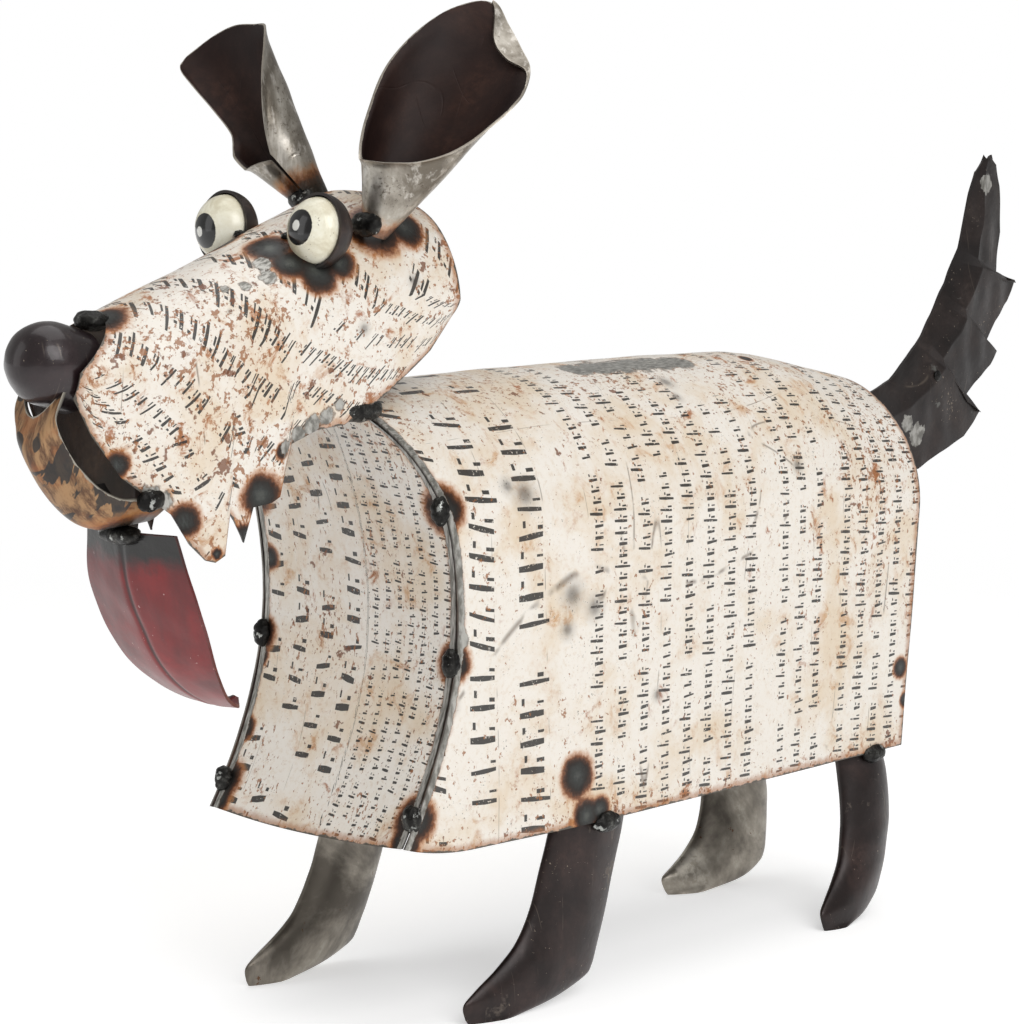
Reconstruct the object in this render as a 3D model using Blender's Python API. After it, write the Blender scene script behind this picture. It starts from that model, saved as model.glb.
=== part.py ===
"""A dog welded together from scrap sheet metal.

The dog stands on the ground, faces -Y, and its own left side is +X. Every size is in metres.
Places are given in the dog's own frame: x across, y along its back, z up from the ground. At the
end the whole dog is moved so that the origin lies under the middle of its bounding box.
"""
import math

import bpy
import numpy as np
from mathutils import Vector

# Sheets and gaps
BODY_SHEET = 0.0012
HEAD_SHEET = 0.0011
EAR_SHEET = 0.0010
SCRAP_SHEET = 0.0014
DOME_SHEET = 0.0012
TONGUE_SHEET = 0.0016
TAIL_SHEET = 0.0022
LEG_SHEET = 0.0016
GAP = 0.0003
BODY_FACETS = 28
BODY_ROWS = 8
CHEST_GRID = (8, 10)
RUMP_GRID = (6, 4)
CUTTER_REACH = 0.0004
SKULL_CUT_DEPTH = 0.0140

# Body: an inverted U, as long as the distance from its front edge to its rear edge
BODY_FRONT_Y = -0.1667
BODY_FRONT_TOP_Y = -0.1630
BODY_REAR_Y = 0.1830
BODY_REAR_BOTTOM_Y = 0.1760
BODY_BOTTOM_Z = 0.0800
BODY_CORNER_RISE = 0.0055
BODY_CREST_FRONT_Z = 0.2705
BODY_CREST_Z = 0.2733
BODY_CREST_REAR_Z = 0.2575
BODY_HALF_FRONT = 0.0610
BODY_HALF_MIDDLE = 0.0660
BODY_HALF_REAR = 0.0597
BODY_REAR_LEAN = 0.0050
BODY_WIDEST = 0.35
BACK_TOP = 0.50
BACK_KINK = 0.80
CORNER_LENGTH = 0.12
SCOOP_DEPTH = 0.0300
CHEST_BELLY = 0.0025
PANEL_TOP_HALF = 0.0100
RUMP_LOW_Z = 0.1260
RUMP_INSET = 0.0030
RUMP_CROWN = 0.0030

# Head: a tapered inverted U, narrower and lower at the snout. The y of everything on the head is
# measured from the neck, the top of the body's front edge
HEAD_HALF_SNOUT = 0.0195
HEAD_HALF_SKULL = 0.0425
HEAD_SNOUT_CREST_Y = -0.1110
HEAD_SKULL_CREST_Y = 0.0460
HEAD_SNOUT_EDGE_Y = -0.1345
HEAD_SKULL_EDGE_Y = 0.0480
HEAD_CREST_SNOUT_Z = 0.3060
HEAD_CREST_BROW_Z = 0.3530
HEAD_CREST_REAR_Z = 0.3510
HEAD_BROW_Y = 0.0180
HEAD_CHEEK_TUCK = 0.0050

# The lower edge of a cheek from the mouth back, as (y, z): mouth, round tooth, pointed tooth,
# notch, throat and the slanting edge behind it
CHEEK_EDGE = (
    (-0.1345, 0.2760), (-0.1277, 0.2617), (-0.1155, 0.2447), (-0.1036, 0.2357), (-0.0941, 0.2287),
    (-0.0862, 0.2162), (-0.0791, 0.2093), (-0.0746, 0.2081), (-0.0699, 0.2105), (-0.0674, 0.2271),
    (-0.0612, 0.2150), (-0.0567, 0.2289), (-0.0480, 0.2301), (-0.0439, 0.2322), (-0.0411, 0.2437),
    (-0.0381, 0.2532), (-0.0251, 0.2580), (-0.0114, 0.2592), (0.0098, 0.2702), (0.0350, 0.2874),
    (0.0480, 0.3010),
)

# Plate under the snout, as (y, z) down its middle from the nose to the throat
JAW_LINE = ((-0.1430, 0.2690), (-0.1465, 0.2550), (-0.1345, 0.2365), (-0.1175, 0.2235), (-0.0910, 0.2235))
JAW_TURN_UP = 0.0130

# Nose
NOSE_RADIUS = 0.0166
NOSE_DEPTH = 0.0170
NOSE_SKIRT = 0.0130
NOSE_BASE = (0.0, -0.1350, 0.2890)
NOSE_PITCH = math.radians(18.0)

# Eyes and their cups
EYE_RADIUS = 0.0137
EYE_DEPTH = 0.0108
EYE_SKIRT = 0.0012
DOME_SIDES = 16
DOME_STEPS = 4
NOSE_STEPS = 5
CUP_RADIUS = (EYE_RADIUS + GAP) / math.cos(math.pi / DOME_SIDES) + DOME_SHEET
CUP_DEPTH = 0.0130
EYE_HALF_SPACING = 0.0285
EYE_Y = -0.0200
EYE_Z = 0.3380
EYE_PITCH = math.radians(8.0)

# Ears: rolled cones. The rim of each is a row of angles round the cone, counted from the side that
# the mouth faces, with the distance that the sheet reaches along the axis there
EAR_ROOT_RADIUS = 0.0055
EARS = {
    "left": {
        "side": 1.0, "base": (0.0330, 0.0070, 0.3360), "axis": (0.300, 0.188, 0.840),
        "half_angle": math.radians(21.2), "turn_out": math.radians(40.5),
        "rim_degrees": (
            -70.5, -53, -35, -18, 0, 17, 34, 50, 66, 80, 92,
            106, 122, 140, 157, 173, 190, 209, 230, 254, 280.5,
        ),
        "rim_reach": (
            0.0272, 0.0280, 0.0292, 0.0307, 0.0330, 0.0354, 0.0393, 0.0446, 0.0515, 0.0605, 0.0700,
            0.0775, 0.0845, 0.0895, 0.0960, 0.1028, 0.0955, 0.0800, 0.0610, 0.0400, 0.0270,
        ),
    },
    "right": {
        "side": -1.0, "base": (-0.0180, 0.0250, 0.3455), "axis": (-0.500, -0.318, 0.750),
        "half_angle": math.radians(16.1), "turn_out": math.radians(23.1),
        "rim_degrees": (
            -42, -20, 0, 20, 38, 52, 67, 80, 87, 91.5, 95,
            103, 116, 134, 154, 176, 200, 220, 247, 279, 311,
        ),
        "rim_reach": (
            0.0270, 0.0295, 0.0310, 0.0320, 0.0335, 0.0405, 0.0445, 0.0485, 0.0530, 0.0650, 0.0870,
            0.0915, 0.0925, 0.0920, 0.0890, 0.0825, 0.0775, 0.0730, 0.0625, 0.0465, 0.0290,
        ),
    },
}

# Tongue, as (y, z) down its crease, and half its width at the same places
TONGUE_LINE = (
    (-0.1010, 0.2205), (-0.0982, 0.2000), (-0.0915, 0.1821), (-0.0822, 0.1652),
    (-0.0699, 0.1530), (-0.0595, 0.1468), (-0.0490, 0.1436), (-0.0420, 0.1450),
)
TONGUE_HALF = (0.0275, 0.0320, 0.0320, 0.0280, 0.0210, 0.0150, 0.0090, 0.0025)
TONGUE_SETBACK = 0.0065

# Tail in the middle plane: its smooth edge and its edge with three flames, as (y, z) from the root
TAIL_SMOOTH_EDGE = (
    (0.0, 0.2360), (0.2167, 0.2452), (0.2371, 0.2520), (0.2480, 0.2600), (0.2593, 0.2687),
    (0.2635, 0.2730), (0.2680, 0.2780), (0.2726, 0.2834), (0.2770, 0.2900), (0.2800, 0.2945),
    (0.2842, 0.2994), (0.2870, 0.3050), (0.2900, 0.3100), (0.2941, 0.3166), (0.2985, 0.3300),
    (0.3025, 0.3450), (0.3065, 0.3560), (0.3130, 0.3626),
)
TAIL_FLAME_EDGE = (
    (0.0, 0.2030), (0.2593, 0.2045), (0.2771, 0.2109), (0.3004, 0.2185), (0.3151, 0.2307),
    (0.2999, 0.2380), (0.3102, 0.2457), (0.3242, 0.2544), (0.3303, 0.2614), (0.3202, 0.2677),
    (0.3271, 0.2774), (0.3385, 0.2874), (0.3444, 0.2983), (0.3254, 0.3000), (0.3292, 0.3240),
    (0.3275, 0.3480), (0.3240, 0.3590), (0.3190, 0.3622),
)
TAIL_FOLD = 0.0050
TAIL_RIDGE = 0.35
TAIL_SECOND_ROW = 0.68

# Legs: slices from the sole up, as (z, front, rear), measured back from the tip of the toe
FRONT_LEG_SLICES = (
    (0.0000, 0.0030, 0.0350), (0.0030, 0.0010, 0.0560), (0.0085, 0.0000, 0.0730),
    (0.0130, 0.0060, 0.0775), (0.0200, 0.0180, 0.0805), (0.0300, 0.0310, 0.0840),
    (0.0450, 0.0400, 0.0885), (0.0620, 0.0455, 0.0930), (0.0800, 0.0510, 0.0970), (0.1180, 0.0600, 0.1010),
)
REAR_LEG_SLICES = (
    (0.0000, 0.0030, 0.0300), (0.0030, 0.0010, 0.0500), (0.0085, 0.0000, 0.0620),
    (0.0130, 0.0060, 0.0665), (0.0200, 0.0160, 0.0695), (0.0300, 0.0255, 0.0725),
    (0.0450, 0.0310, 0.0760), (0.0620, 0.0335, 0.0760), (0.0800, 0.0345, 0.0740), (0.1180, 0.0360, 0.0715),
)
LEG_HALF_THICKNESS = 0.0085
LEG_FLOOR_SLICE = 4
LEG_TWIST_END_Z = 0.0700
LEG_TUCK_END_Z = 0.0850
LEG_SIDES = 10
LEG_TOE_RISE = 0.0120
LEG_TOE_THIN = 0.35
LEG_HEEL_RISE = 0.0200
LEG_HEEL_THIN = 0.45
# Each leg: the tip of its toe, how far it turns out, and its share of the slices' fore and aft sizes
LEGS = {
    "leg_front_left": {
        "slices": FRONT_LEG_SLICES, "toe": (0.0500, -0.1220), "splay": math.radians(-2.0),
        "scale": 1.00, "side": 1.0,
    },
    "leg_front_right": {
        "slices": FRONT_LEG_SLICES, "toe": (-0.0630, -0.1460), "splay": math.radians(-2.0),
        "scale": 0.88, "side": -1.0,
    },
    "leg_rear_left": {
        "slices": REAR_LEG_SLICES, "toe": (0.0610, 0.1085), "splay": math.radians(11.0),
        "scale": 0.82, "side": 1.0,
    },
    "leg_rear_right": {
        "slices": REAR_LEG_SLICES, "toe": (-0.0410, 0.1100), "splay": math.radians(11.0),
        "scale": 1.02, "side": -1.0,
    },
}

# Weld beads: half sizes across, along and up
BEAD_SIDES = 8
BEAD_RINGS = 4
SEAM_TACK_HEIGHTS = (0.0970, 0.1590, 0.2230)
SEAM_TACK = (0.0045, 0.0042, 0.0065)
NECK_BEAD = (0.0050, 0.0130, 0.0050)
JAW_BEAD = (0.0035, 0.0070, 0.0050)
NOSE_BEAD = (0.0085, 0.0075, 0.0045)
EYE_BEAD = (0.0050, 0.0060, 0.0050)
JAW_WELD_Y = -0.1030
EAR_BEAD = (0.0085, 0.0060, 0.0060)
EAR_BEAD_RISE = 0.0050
EAR_CUTTER_SIDES = 20
TONGUE_BEAD = (0.0130, 0.0060, 0.0048)
TAIL_BEAD = (0.0060, 0.0060, 0.0060)
LEG_BEAD = (0.0050, 0.0090, 0.0048)
# Where beads sit, as shares of their own half sizes, and of the cup's radius for those at the eyes
BEAD_DROP = 0.2
BEAD_SINK = 0.3
NECK_BEAD_RISE = 0.6
EYE_BEAD_PLACE = (0.90, 0.35)

# Colour, roughness and metallic value of each material
FINISHES = {
    "printed_sheet": ((0.72, 0.66, 0.58), 0.45, 0.1),
    "steel_sheet": ((0.30, 0.28, 0.25), 0.35, 0.9),
    "dark_steel": ((0.035, 0.026, 0.024), 0.35, 0.7),
    "grey_steel": ((0.10, 0.095, 0.075), 0.45, 0.8),
    "red_paint": ((0.22, 0.008, 0.010), 0.25, 0.1),
    "white_paint": ((0.80, 0.78, 0.66), 0.25, 0.0),
    "scrap_paint": ((0.38, 0.22, 0.10), 0.50, 0.2),
    "weld_metal": ((0.05, 0.05, 0.05), 0.40, 0.9),
}


def clear_scene():
    """Remove whatever the file opened with."""
    for item in list(bpy.data.objects):
        bpy.data.objects.remove(item, do_unlink=True)


def finish(name):
    """One plain metal or paint material."""
    material = bpy.data.materials.get(name)
    if material is None:
        colour, roughness, metallic = FINISHES[name]
        material = bpy.data.materials.new(name)
        material.use_nodes = True
        shader = material.node_tree.nodes["Principled BSDF"]
        shader.inputs["Base Color"].default_value = (*colour, 1.0)
        shader.inputs["Roughness"].default_value = roughness
        shader.inputs["Metallic"].default_value = metallic
    return material


def make_object(name, points, faces, material):
    """A mesh object, shaded smooth but for its sharp edges."""
    mesh = bpy.data.meshes.new(name)
    mesh.from_pydata([tuple(p) for p in points], [], faces)
    mesh.validate()
    mesh.shade_smooth()
    mesh.set_sharp_from_angle(angle=math.radians(35.0))
    item = bpy.data.objects.new(name, mesh)
    bpy.context.scene.collection.objects.link(item)
    if material:
        mesh.materials.append(finish(material))
    return item


def hide_cutter(item):
    """Mark an object as a cutter only."""
    item.hide_render = True
    item.display_type = 'WIRE'
    return item


def cut(item, cutter):
    """Take a cutter's form out of an object."""
    modifier = item.modifiers.new("clear_" + cutter.name, 'BOOLEAN')
    modifier.operation = 'DIFFERENCE'
    modifier.solver = 'EXACT'
    modifier.object = cutter


def lerp(a, b, t):
    return a + (b - a) * t


def smooth_line(points, t):
    """A smooth curve through points, read at shares t of its length, or a little past its ends."""
    knots = np.asarray(points, dtype=float)
    if knots.ndim == 1:
        knots = knots[:, None]
    last = len(knots) - 1
    place = np.asarray(t, dtype=float) * last
    index = np.clip(np.floor(place).astype(int), 0, last - 1)
    f = (place - index)[..., None]
    padded = np.vstack([2 * knots[0] - knots[1], knots, 2 * knots[-1] - knots[-2]])
    a, b, c, d = padded[index], padded[index + 1], padded[index + 2], padded[index + 3]
    return 0.5 * (2 * b + (c - a) * f + (2 * a - 5 * b + 4 * c - d) * f**2 + (3 * b - a - 3 * c + d) * f**3)


def normals_of(surface, u, v):
    """Unit normals of a surface, from small steps along its two parameters."""
    step = 1e-3
    du = surface(u + step, v) - surface(u - step, v)
    dv = surface(u, v + step) - surface(u, v - step)
    normal = np.cross(du, dv)
    length = np.linalg.norm(normal, axis=-1, keepdims=True)
    return normal / np.maximum(length, 1e-12)


def sheet(name, surface, across, along, thickness, material, grow=0.0, direction=None):
    """A closed solid of even thickness behind a surface.

    surface(u, v) gives the outer face. across and along are the parameter values of its rows and
    columns. grow makes every face stand further out, for a cutter. direction fixes the way from
    the outer face to the inner one, which is otherwise the normal's.
    """
    u, v = np.meshgrid(np.asarray(across, dtype=float), np.asarray(along, dtype=float), indexing="ij")
    face = surface(u, v)
    inward = -normals_of(surface, u, v) if direction is None else np.broadcast_to(direction, face.shape)
    outer = (face - inward * grow).reshape(-1, 3)
    inner = (face + inward * (thickness + grow)).reshape(-1, 3)
    rows, columns = u.shape
    count = rows * columns
    points = np.vstack([outer, inner])

    def index(i, j, side):
        return side * count + i * columns + j

    faces = []
    for i in range(rows - 1):
        for j in range(columns - 1):
            faces.append((index(i, j, 0), index(i + 1, j, 0), index(i + 1, j + 1, 0), index(i, j + 1, 0)))
            faces.append((index(i, j + 1, 1), index(i + 1, j + 1, 1), index(i + 1, j, 1), index(i, j, 1)))
    for i in range(rows - 1):
        faces.append((index(i, 0, 1), index(i + 1, 0, 1), index(i + 1, 0, 0), index(i, 0, 0)))
        last = columns - 1
        faces.append((index(i, last, 0), index(i + 1, last, 0), index(i + 1, last, 1), index(i, last, 1)))
    for j in range(columns - 1):
        faces.append((index(0, j, 0), index(0, j + 1, 0), index(0, j + 1, 1), index(0, j, 1)))
        last = rows - 1
        faces.append((index(last, j, 1), index(last, j + 1, 1), index(last, j + 1, 0), index(last, j, 0)))
    return make_object(name, points, faces, material)


def turned(name, profile, segments, base, axis, material):
    """A body of revolution. profile is a list of (radius, height) that starts and ends on the axis."""
    turn = Vector((0.0, 0.0, 1.0)).rotation_difference(Vector(axis)).to_matrix()
    points = []
    rings = []
    for radius, height in profile:
        if radius < 1e-7:
            rings.append([len(points)])
            points.append(Vector((0.0, 0.0, height)))
            continue
        ring = []
        for k in range(segments):
            angle = 2.0 * math.pi * k / segments
            ring.append(len(points))
            points.append(Vector((radius * math.cos(angle), radius * math.sin(angle), height)))
        rings.append(ring)
    faces = []
    for lower, upper in zip(rings, rings[1:]):
        for k in range(segments):
            n = (k + 1) % segments
            if len(lower) == 1:
                faces.append((lower[0], upper[n], upper[k]))
            elif len(upper) == 1:
                faces.append((lower[k], lower[n], upper[0]))
            else:
                faces.append((lower[k], lower[n], upper[n], upper[k]))
    placed = [turn @ p + Vector(base) for p in points]
    # The profile runs from the front pole round to the inner pole, so the faces are turned outward
    outward = [tuple(reversed(face)) for face in faces]
    return make_object(name, placed, outward, material)


def body_half_width(v):
    """Half the body's width at a share v of its length: widest a third of the way back."""
    opening = np.sin(np.clip(v / BODY_WIDEST, 0, 1) * math.pi / 2)
    closing = np.clip((v - BODY_WIDEST) / (1.0 - BODY_WIDEST), 0, None)
    front = lerp(BODY_HALF_FRONT, BODY_HALF_MIDDLE, opening)
    return np.where(v < BODY_WIDEST, front, lerp(BODY_HALF_MIDDLE, BODY_HALF_REAR, closing))


def body_crest(v):
    """Height of the back: nearly level, then bent down behind the kink."""
    rise = BODY_CREST_Z - BODY_CREST_FRONT_Z
    level = BODY_CREST_Z - rise * (1.0 - np.clip(v, 0, 1) / BACK_TOP) ** 2
    kink_z = BODY_CREST_Z - rise * (1.0 - BACK_KINK / BACK_TOP) ** 2
    slope = (BODY_CREST_REAR_Z - kink_z) / (1.0 - BACK_KINK)
    return np.where(v < BACK_KINK, level, kink_z + slope * (v - BACK_KINK))


def body_bottom(v):
    """Height of the flank's lower edge: level, with the front corner cut a little higher."""
    return BODY_BOTTOM_Z + BODY_CORNER_RISE * np.clip(1.0 - v / CORNER_LENGTH, 0, 1) ** 2


def front_edge_y(z):
    """Where the body's front edge lies at a height: hollowed between its bottom and its crest."""
    low = BODY_BOTTOM_Z + BODY_CORNER_RISE
    t = (z - low) / (BODY_CREST_FRONT_Z - low)
    return lerp(BODY_FRONT_Y, BODY_FRONT_TOP_Y, t) + SCOOP_DEPTH * (1.0 - (2.0 * t - 1.0) ** 2)


def rear_edge_y(z):
    """Where the body's rear edge lies at a height: leaning forward at the bottom."""
    t = np.clip((z - BODY_BOTTOM_Z) / (BODY_CREST_REAR_Z - BODY_BOTTOM_Z), 0, 1)
    return lerp(BODY_REAR_BOTTOM_Y, BODY_REAR_Y, np.sin(t * math.pi / 2))


def body_surface(u, v):
    """The body's outer face: u runs over the arch from the right flank, v from front to rear."""
    half = body_half_width(v)
    crest = body_crest(v)
    bottom = body_bottom(v)
    wall = crest - half - bottom
    arc = math.pi * half
    s = u * (2.0 * wall + arc)
    angle = np.clip((s - wall) / half, 0.0, math.pi)
    below = np.where(s < wall, wall - s, np.where(s > wall + arc, s - wall - arc, 0.0))
    z = crest - half + half * np.sin(angle) - below
    lean = BODY_REAR_LEAN * np.clip(v, 0, None) ** 2 * below / wall
    x = -(half - lean) * np.cos(angle)
    y = lerp(front_edge_y(z), rear_edge_y(z), v)
    return np.stack([x, y, z], axis=-1)


def facet_sag(half):
    """How far the middle of a flat facet lies inside the round arch that it stands for."""
    facet_length = 2.0 * (BODY_CREST_Z - BODY_BOTTOM_Z) / BODY_FACETS + math.pi * half / BODY_FACETS
    return facet_length**2 / (8.0 * half)


def arch_inner_half(z, v):
    """Half the clear width inside the body at height z, less the gap."""
    half = body_half_width(v)
    spring = body_crest(v) - half
    room = half - facet_sag(half) - BODY_SHEET - GAP
    above = np.clip(z - spring, 0.0, None)
    below = np.clip(spring - z, 0.0, None) / (spring - body_bottom(v))
    return np.sqrt(np.clip(room**2 - above**2, 1e-8, None)) - BODY_REAR_LEAN * v**2 * below


def panel_surface(edge_y, v_body, low, belly, setback, crown, facing):
    """A plate across one end of the body, from the height low up to the crest.

    v_body is 0 at the front end and 1 at the rear. facing is -1 for a plate that looks forward.
    """
    half = float(body_half_width(np.array(v_body)))
    room = half - facet_sag(half) - BODY_SHEET - GAP
    spring = float(body_crest(np.array(v_body)) - body_half_width(np.array(v_body)))
    top = spring + math.sqrt(room**2 - PANEL_TOP_HALF**2)

    def surface(u, v):
        side = facing * (1.0 - 2.0 * u)
        z = lerp(low, top, v)
        x = side * arch_inner_half(z, np.array(v_body))
        y = edge_y(z) + setback + crown * (1.0 - side**2) * np.sin(math.pi * np.clip(v, 0, 1))
        return np.stack([x, y, z - belly * (1.0 - side**2) * (1.0 - v)], axis=-1)

    return surface


def from_neck(x, y, z):
    """A place on the head, carried into the dog's own frame."""
    return (x, BODY_FRONT_TOP_Y + y, z)


def head_half(v):
    """Half the head's width: widening fast behind the snout and slowly at the skull."""
    return lerp(HEAD_HALF_SNOUT, HEAD_HALF_SKULL, np.sin(np.clip(v, 0.0, 1.0) * math.pi / 2) ** 0.85)


def head_crest(v):
    """Height of the head's top line: rising straight from the snout to the brow, then rounding off."""
    brow = (HEAD_BROW_Y - HEAD_SNOUT_CREST_Y) / (HEAD_SKULL_CREST_Y - HEAD_SNOUT_CREST_Y)
    rising = lerp(HEAD_CREST_SNOUT_Z, HEAD_CREST_BROW_Z, v / brow)
    behind = lerp(HEAD_CREST_BROW_Z, HEAD_CREST_REAR_Z, ((v - brow) / (1.0 - brow)) ** 2)
    return np.where(v < brow, rising, behind)


def cheek_rows():
    """Shares of the head's length at which its lower edge changes direction."""
    ys = np.array([y for y, z in CHEEK_EDGE])
    return (ys - HEAD_SNOUT_EDGE_Y) / (HEAD_SKULL_EDGE_Y - HEAD_SNOUT_EDGE_Y)


def head_surface(u, v):
    """The head's outer face: u runs over the arch from the right cheek, v from snout to skull.

    A quarter of u on each side is the cheek wall, from the arch down to the jagged edge, and the
    middle half is the arch.
    """
    half = head_half(v)
    crest = head_crest(v)
    spring = crest - half
    edge = np.interp(v, cheek_rows(), [z for y, z in CHEEK_EDGE])
    angle = np.clip((u - 0.25) / 0.5, 0.0, 1.0) * math.pi
    down = np.clip((0.25 - u) / 0.25, 0.0, None) + np.clip((u - 0.75) / 0.25, 0.0, None)
    drop = spring - edge
    z = spring + half * np.sin(angle) - down * drop
    x = -(half - HEAD_CHEEK_TUCK * down**1.5) * np.cos(angle)
    y_crest = lerp(HEAD_SNOUT_CREST_Y, HEAD_SKULL_CREST_Y, v)
    y_edge = lerp(HEAD_SNOUT_EDGE_Y, HEAD_SKULL_EDGE_Y, v)
    return np.stack(from_neck(x, lerp(y_edge, y_crest, np.sin(angle)), z), axis=-1)


def jaw_surface(u, v):
    """The plate under the snout: its middle line, with both long sides turned up, inside the cheeks."""
    side = 1.0 - 2.0 * u
    line = smooth_line(JAW_LINE, v)
    share = (line[..., 0] - HEAD_SNOUT_EDGE_Y) / (HEAD_SKULL_EDGE_Y - HEAD_SNOUT_EDGE_Y)
    half = head_half(share) - HEAD_CHEEK_TUCK - HEAD_SHEET - GAP
    y = line[..., 0] + 0.5 * JAW_TURN_UP * side**2 * (1.0 - v)
    z = line[..., 1] + JAW_TURN_UP * side**2
    return np.stack(from_neck(side * half, y, z), axis=-1)


def tongue_surface(u, v):
    """The tongue: a leaf that hangs from the jaw, creased down its middle, its tip curled back."""
    side = 1.0 - 2.0 * u
    line = smooth_line(TONGUE_LINE, v)
    half = smooth_line(TONGUE_HALF, v)[..., 0]
    back = TONGUE_SETBACK * np.abs(side) ** 1.2 * half / max(TONGUE_HALF)
    return np.stack(from_neck(side * half, line[..., 0] + back, line[..., 1]), axis=-1)


def tail_root_y():
    """Where the tail's root stands, just clear of the rump plate's middle."""
    root_z = TAIL_SMOOTH_EDGE[0][1]
    return float(rear_edge_y(np.array(root_z))) - RUMP_INSET + RUMP_CROWN + GAP


def tail_surface(u, v):
    """The tail: a blade between its smooth edge and its flame edge, folded along a ridge."""
    share = np.linspace(0.0, 1.0, len(TAIL_SMOOTH_EDGE))
    root = tail_root_y()
    smooth_y = np.array([max(y, root) for y, z in TAIL_SMOOTH_EDGE])
    flame_y = np.array([max(y, root) for y, z in TAIL_FLAME_EDGE])
    y = lerp(np.interp(v, share, smooth_y), np.interp(v, share, flame_y), u)
    z = lerp(np.interp(v, share, [p[1] for p in TAIL_SMOOTH_EDGE]),
             np.interp(v, share, [p[1] for p in TAIL_FLAME_EDGE]), u)
    ridge = np.where(u < TAIL_RIDGE, u / TAIL_RIDGE, (1.0 - u) / (1.0 - TAIL_RIDGE))
    x = TAIL_SHEET * 0.5 + TAIL_FOLD * (ridge - 0.5) * np.sin(math.pi * np.clip(v, 0, 1)) ** 0.5
    return np.stack([x, y, z], axis=-1)


def ear_surface(ear):
    """A rolled cone. u runs round it from slit to slit, v from the root to the slanted mouth.

    The angle is counted from the side that the mouth faces, forward and outward, and grows
    towards the outer side of the head.
    """
    mirror = ear["side"]
    along = np.array(ear["axis"]) / np.linalg.norm(ear["axis"])
    facing = np.array([mirror * math.sin(ear["turn_out"]), -math.cos(ear["turn_out"]), 0.0])
    facing -= along * facing.dot(along)
    facing /= np.linalg.norm(facing)
    beside = np.cross(along, facing)

    def surface(u, v):
        share = u if mirror > 0 else 1.0 - u
        angle = np.radians(smooth_line(ear["rim_degrees"], share)[..., 0])
        length = smooth_line(ear["rim_reach"], share)[..., 0] * v
        radius = EAR_ROOT_RADIUS + length * math.tan(ear["half_angle"])
        ring = np.cos(mirror * angle)[..., None] * facing + np.sin(mirror * angle)[..., None] * beside
        return np.array(from_neck(*ear["base"])) + length[..., None] * along + radius[..., None] * ring

    return surface


def dome_profile(radius, depth, skirt, thickness, steps):
    """Half the section of a thin dome, from its outer pole round the rim to its inner pole."""
    outer = []
    inner = []
    for k in range(steps + 1):
        angle = 0.5 * math.pi * k / steps
        outer.append((radius * math.sin(angle), depth * math.cos(angle)))
        inner.append(((radius - thickness) * math.sin(angle), (depth - thickness) * math.cos(angle)))
    outer.append((radius, -skirt))
    inner.append((radius - thickness, -skirt))
    return outer + list(reversed(inner))


def leg_ring(slice_row, inset, one_leg, wall):
    """One level outline of a leg: an ellipse that is blunt at the heel and pointed at the toe.

    The foot is turned out by splay and untwists upward. The leg also moves sideways as it rises,
    until its outer face lies along the inside of the flank, wall away from the middle plane.
    """
    z, front, rear = slice_row
    toe, scale, side = one_leg["toe"], one_leg["scale"], one_leg["side"]
    middle = 0.5 * (front + rear) * scale
    half_length = 0.5 * (rear - front) * scale - inset
    half_thick = LEG_HALF_THICKNESS * (1.0 - LEG_TOE_THIN * math.exp(-z / LEG_TOE_RISE)) - inset
    turn = side * one_leg["splay"] * max(0.0, 1.0 - z / LEG_TWIST_END_Z)
    tucked = min(1.0, z / LEG_TUCK_END_Z)
    middle_x = toe[0] - middle * math.sin(turn)
    x_middle = lerp(middle_x, side * (wall - LEG_HALF_THICKNESS), tucked)
    y_middle = toe[1] + middle
    points = []
    for k in range(LEG_SIDES):
        angle = -2.0 * math.pi * k / LEG_SIDES
        along = half_length * math.cos(angle)
        taper = 1.0 - LEG_HEEL_THIN * max(0.0, -math.cos(angle)) * math.exp(-z / LEG_HEEL_RISE)
        across = half_thick * math.sin(angle) * taper
        x = x_middle + across * math.cos(turn) - along * math.sin(turn)
        y = y_middle + along * math.cos(turn) + across * math.sin(turn)
        points.append((x, y, z))
    return points


def leg_wall(name):
    """Clear half width inside the body where a leg's top stands."""
    one_leg = LEGS[name]
    top_z, front, rear = one_leg["slices"][-1]
    length = BODY_REAR_Y - BODY_FRONT_Y
    ends = [(one_leg["toe"][1] + y * one_leg["scale"] - BODY_FRONT_Y) / length for y in (front, rear)]
    heights = (BODY_BOTTOM_Z + BODY_CORNER_RISE, top_z)
    return min(float(arch_inner_half(np.array(z), np.array(min(v, 1.0)))) for v in ends for z in heights)


def leg_rings(name, inset, first=0):
    """The level outlines of a leg from its sole, or a higher slice, to its top."""
    wall = leg_wall(name)
    return [leg_ring(row, inset, LEGS[name], wall) for row in LEGS[name]["slices"][first:]]


def tube_faces(start, count):
    """Faces between count stacked rings of a leg, facing out."""
    n = LEG_SIDES
    faces = []
    for j in range(count - 1):
        a, b = start + j * n, start + (j + 1) * n
        faces += [(a + k, a + (k + 1) % n, b + (k + 1) % n, b + k) for k in range(n)]
    return faces


def leg(name):
    """A boot shaped leg of formed sheet, open at the top, with a flat under its toe."""
    outer = leg_rings(name, 0.0)
    inner = leg_rings(name, LEG_SHEET, LEG_FLOOR_SLICE)
    n = LEG_SIDES
    start = len(outer) * n
    top, inner_top = start - n, start + (len(inner) - 1) * n
    faces = [tuple(reversed(range(n)))] + tube_faces(0, len(outer))
    faces += [tuple(reversed(face)) for face in tube_faces(start, len(inner))]
    faces += [(top + k, top + (k + 1) % n, inner_top + (k + 1) % n, inner_top + k) for k in range(n)]
    faces.append(tuple(start + k for k in range(n)))
    material = "dark_steel" if LEGS[name]["side"] > 0 else "grey_steel"
    return make_object(name, [p for r in outer + inner for p in r], faces, material)


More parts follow.
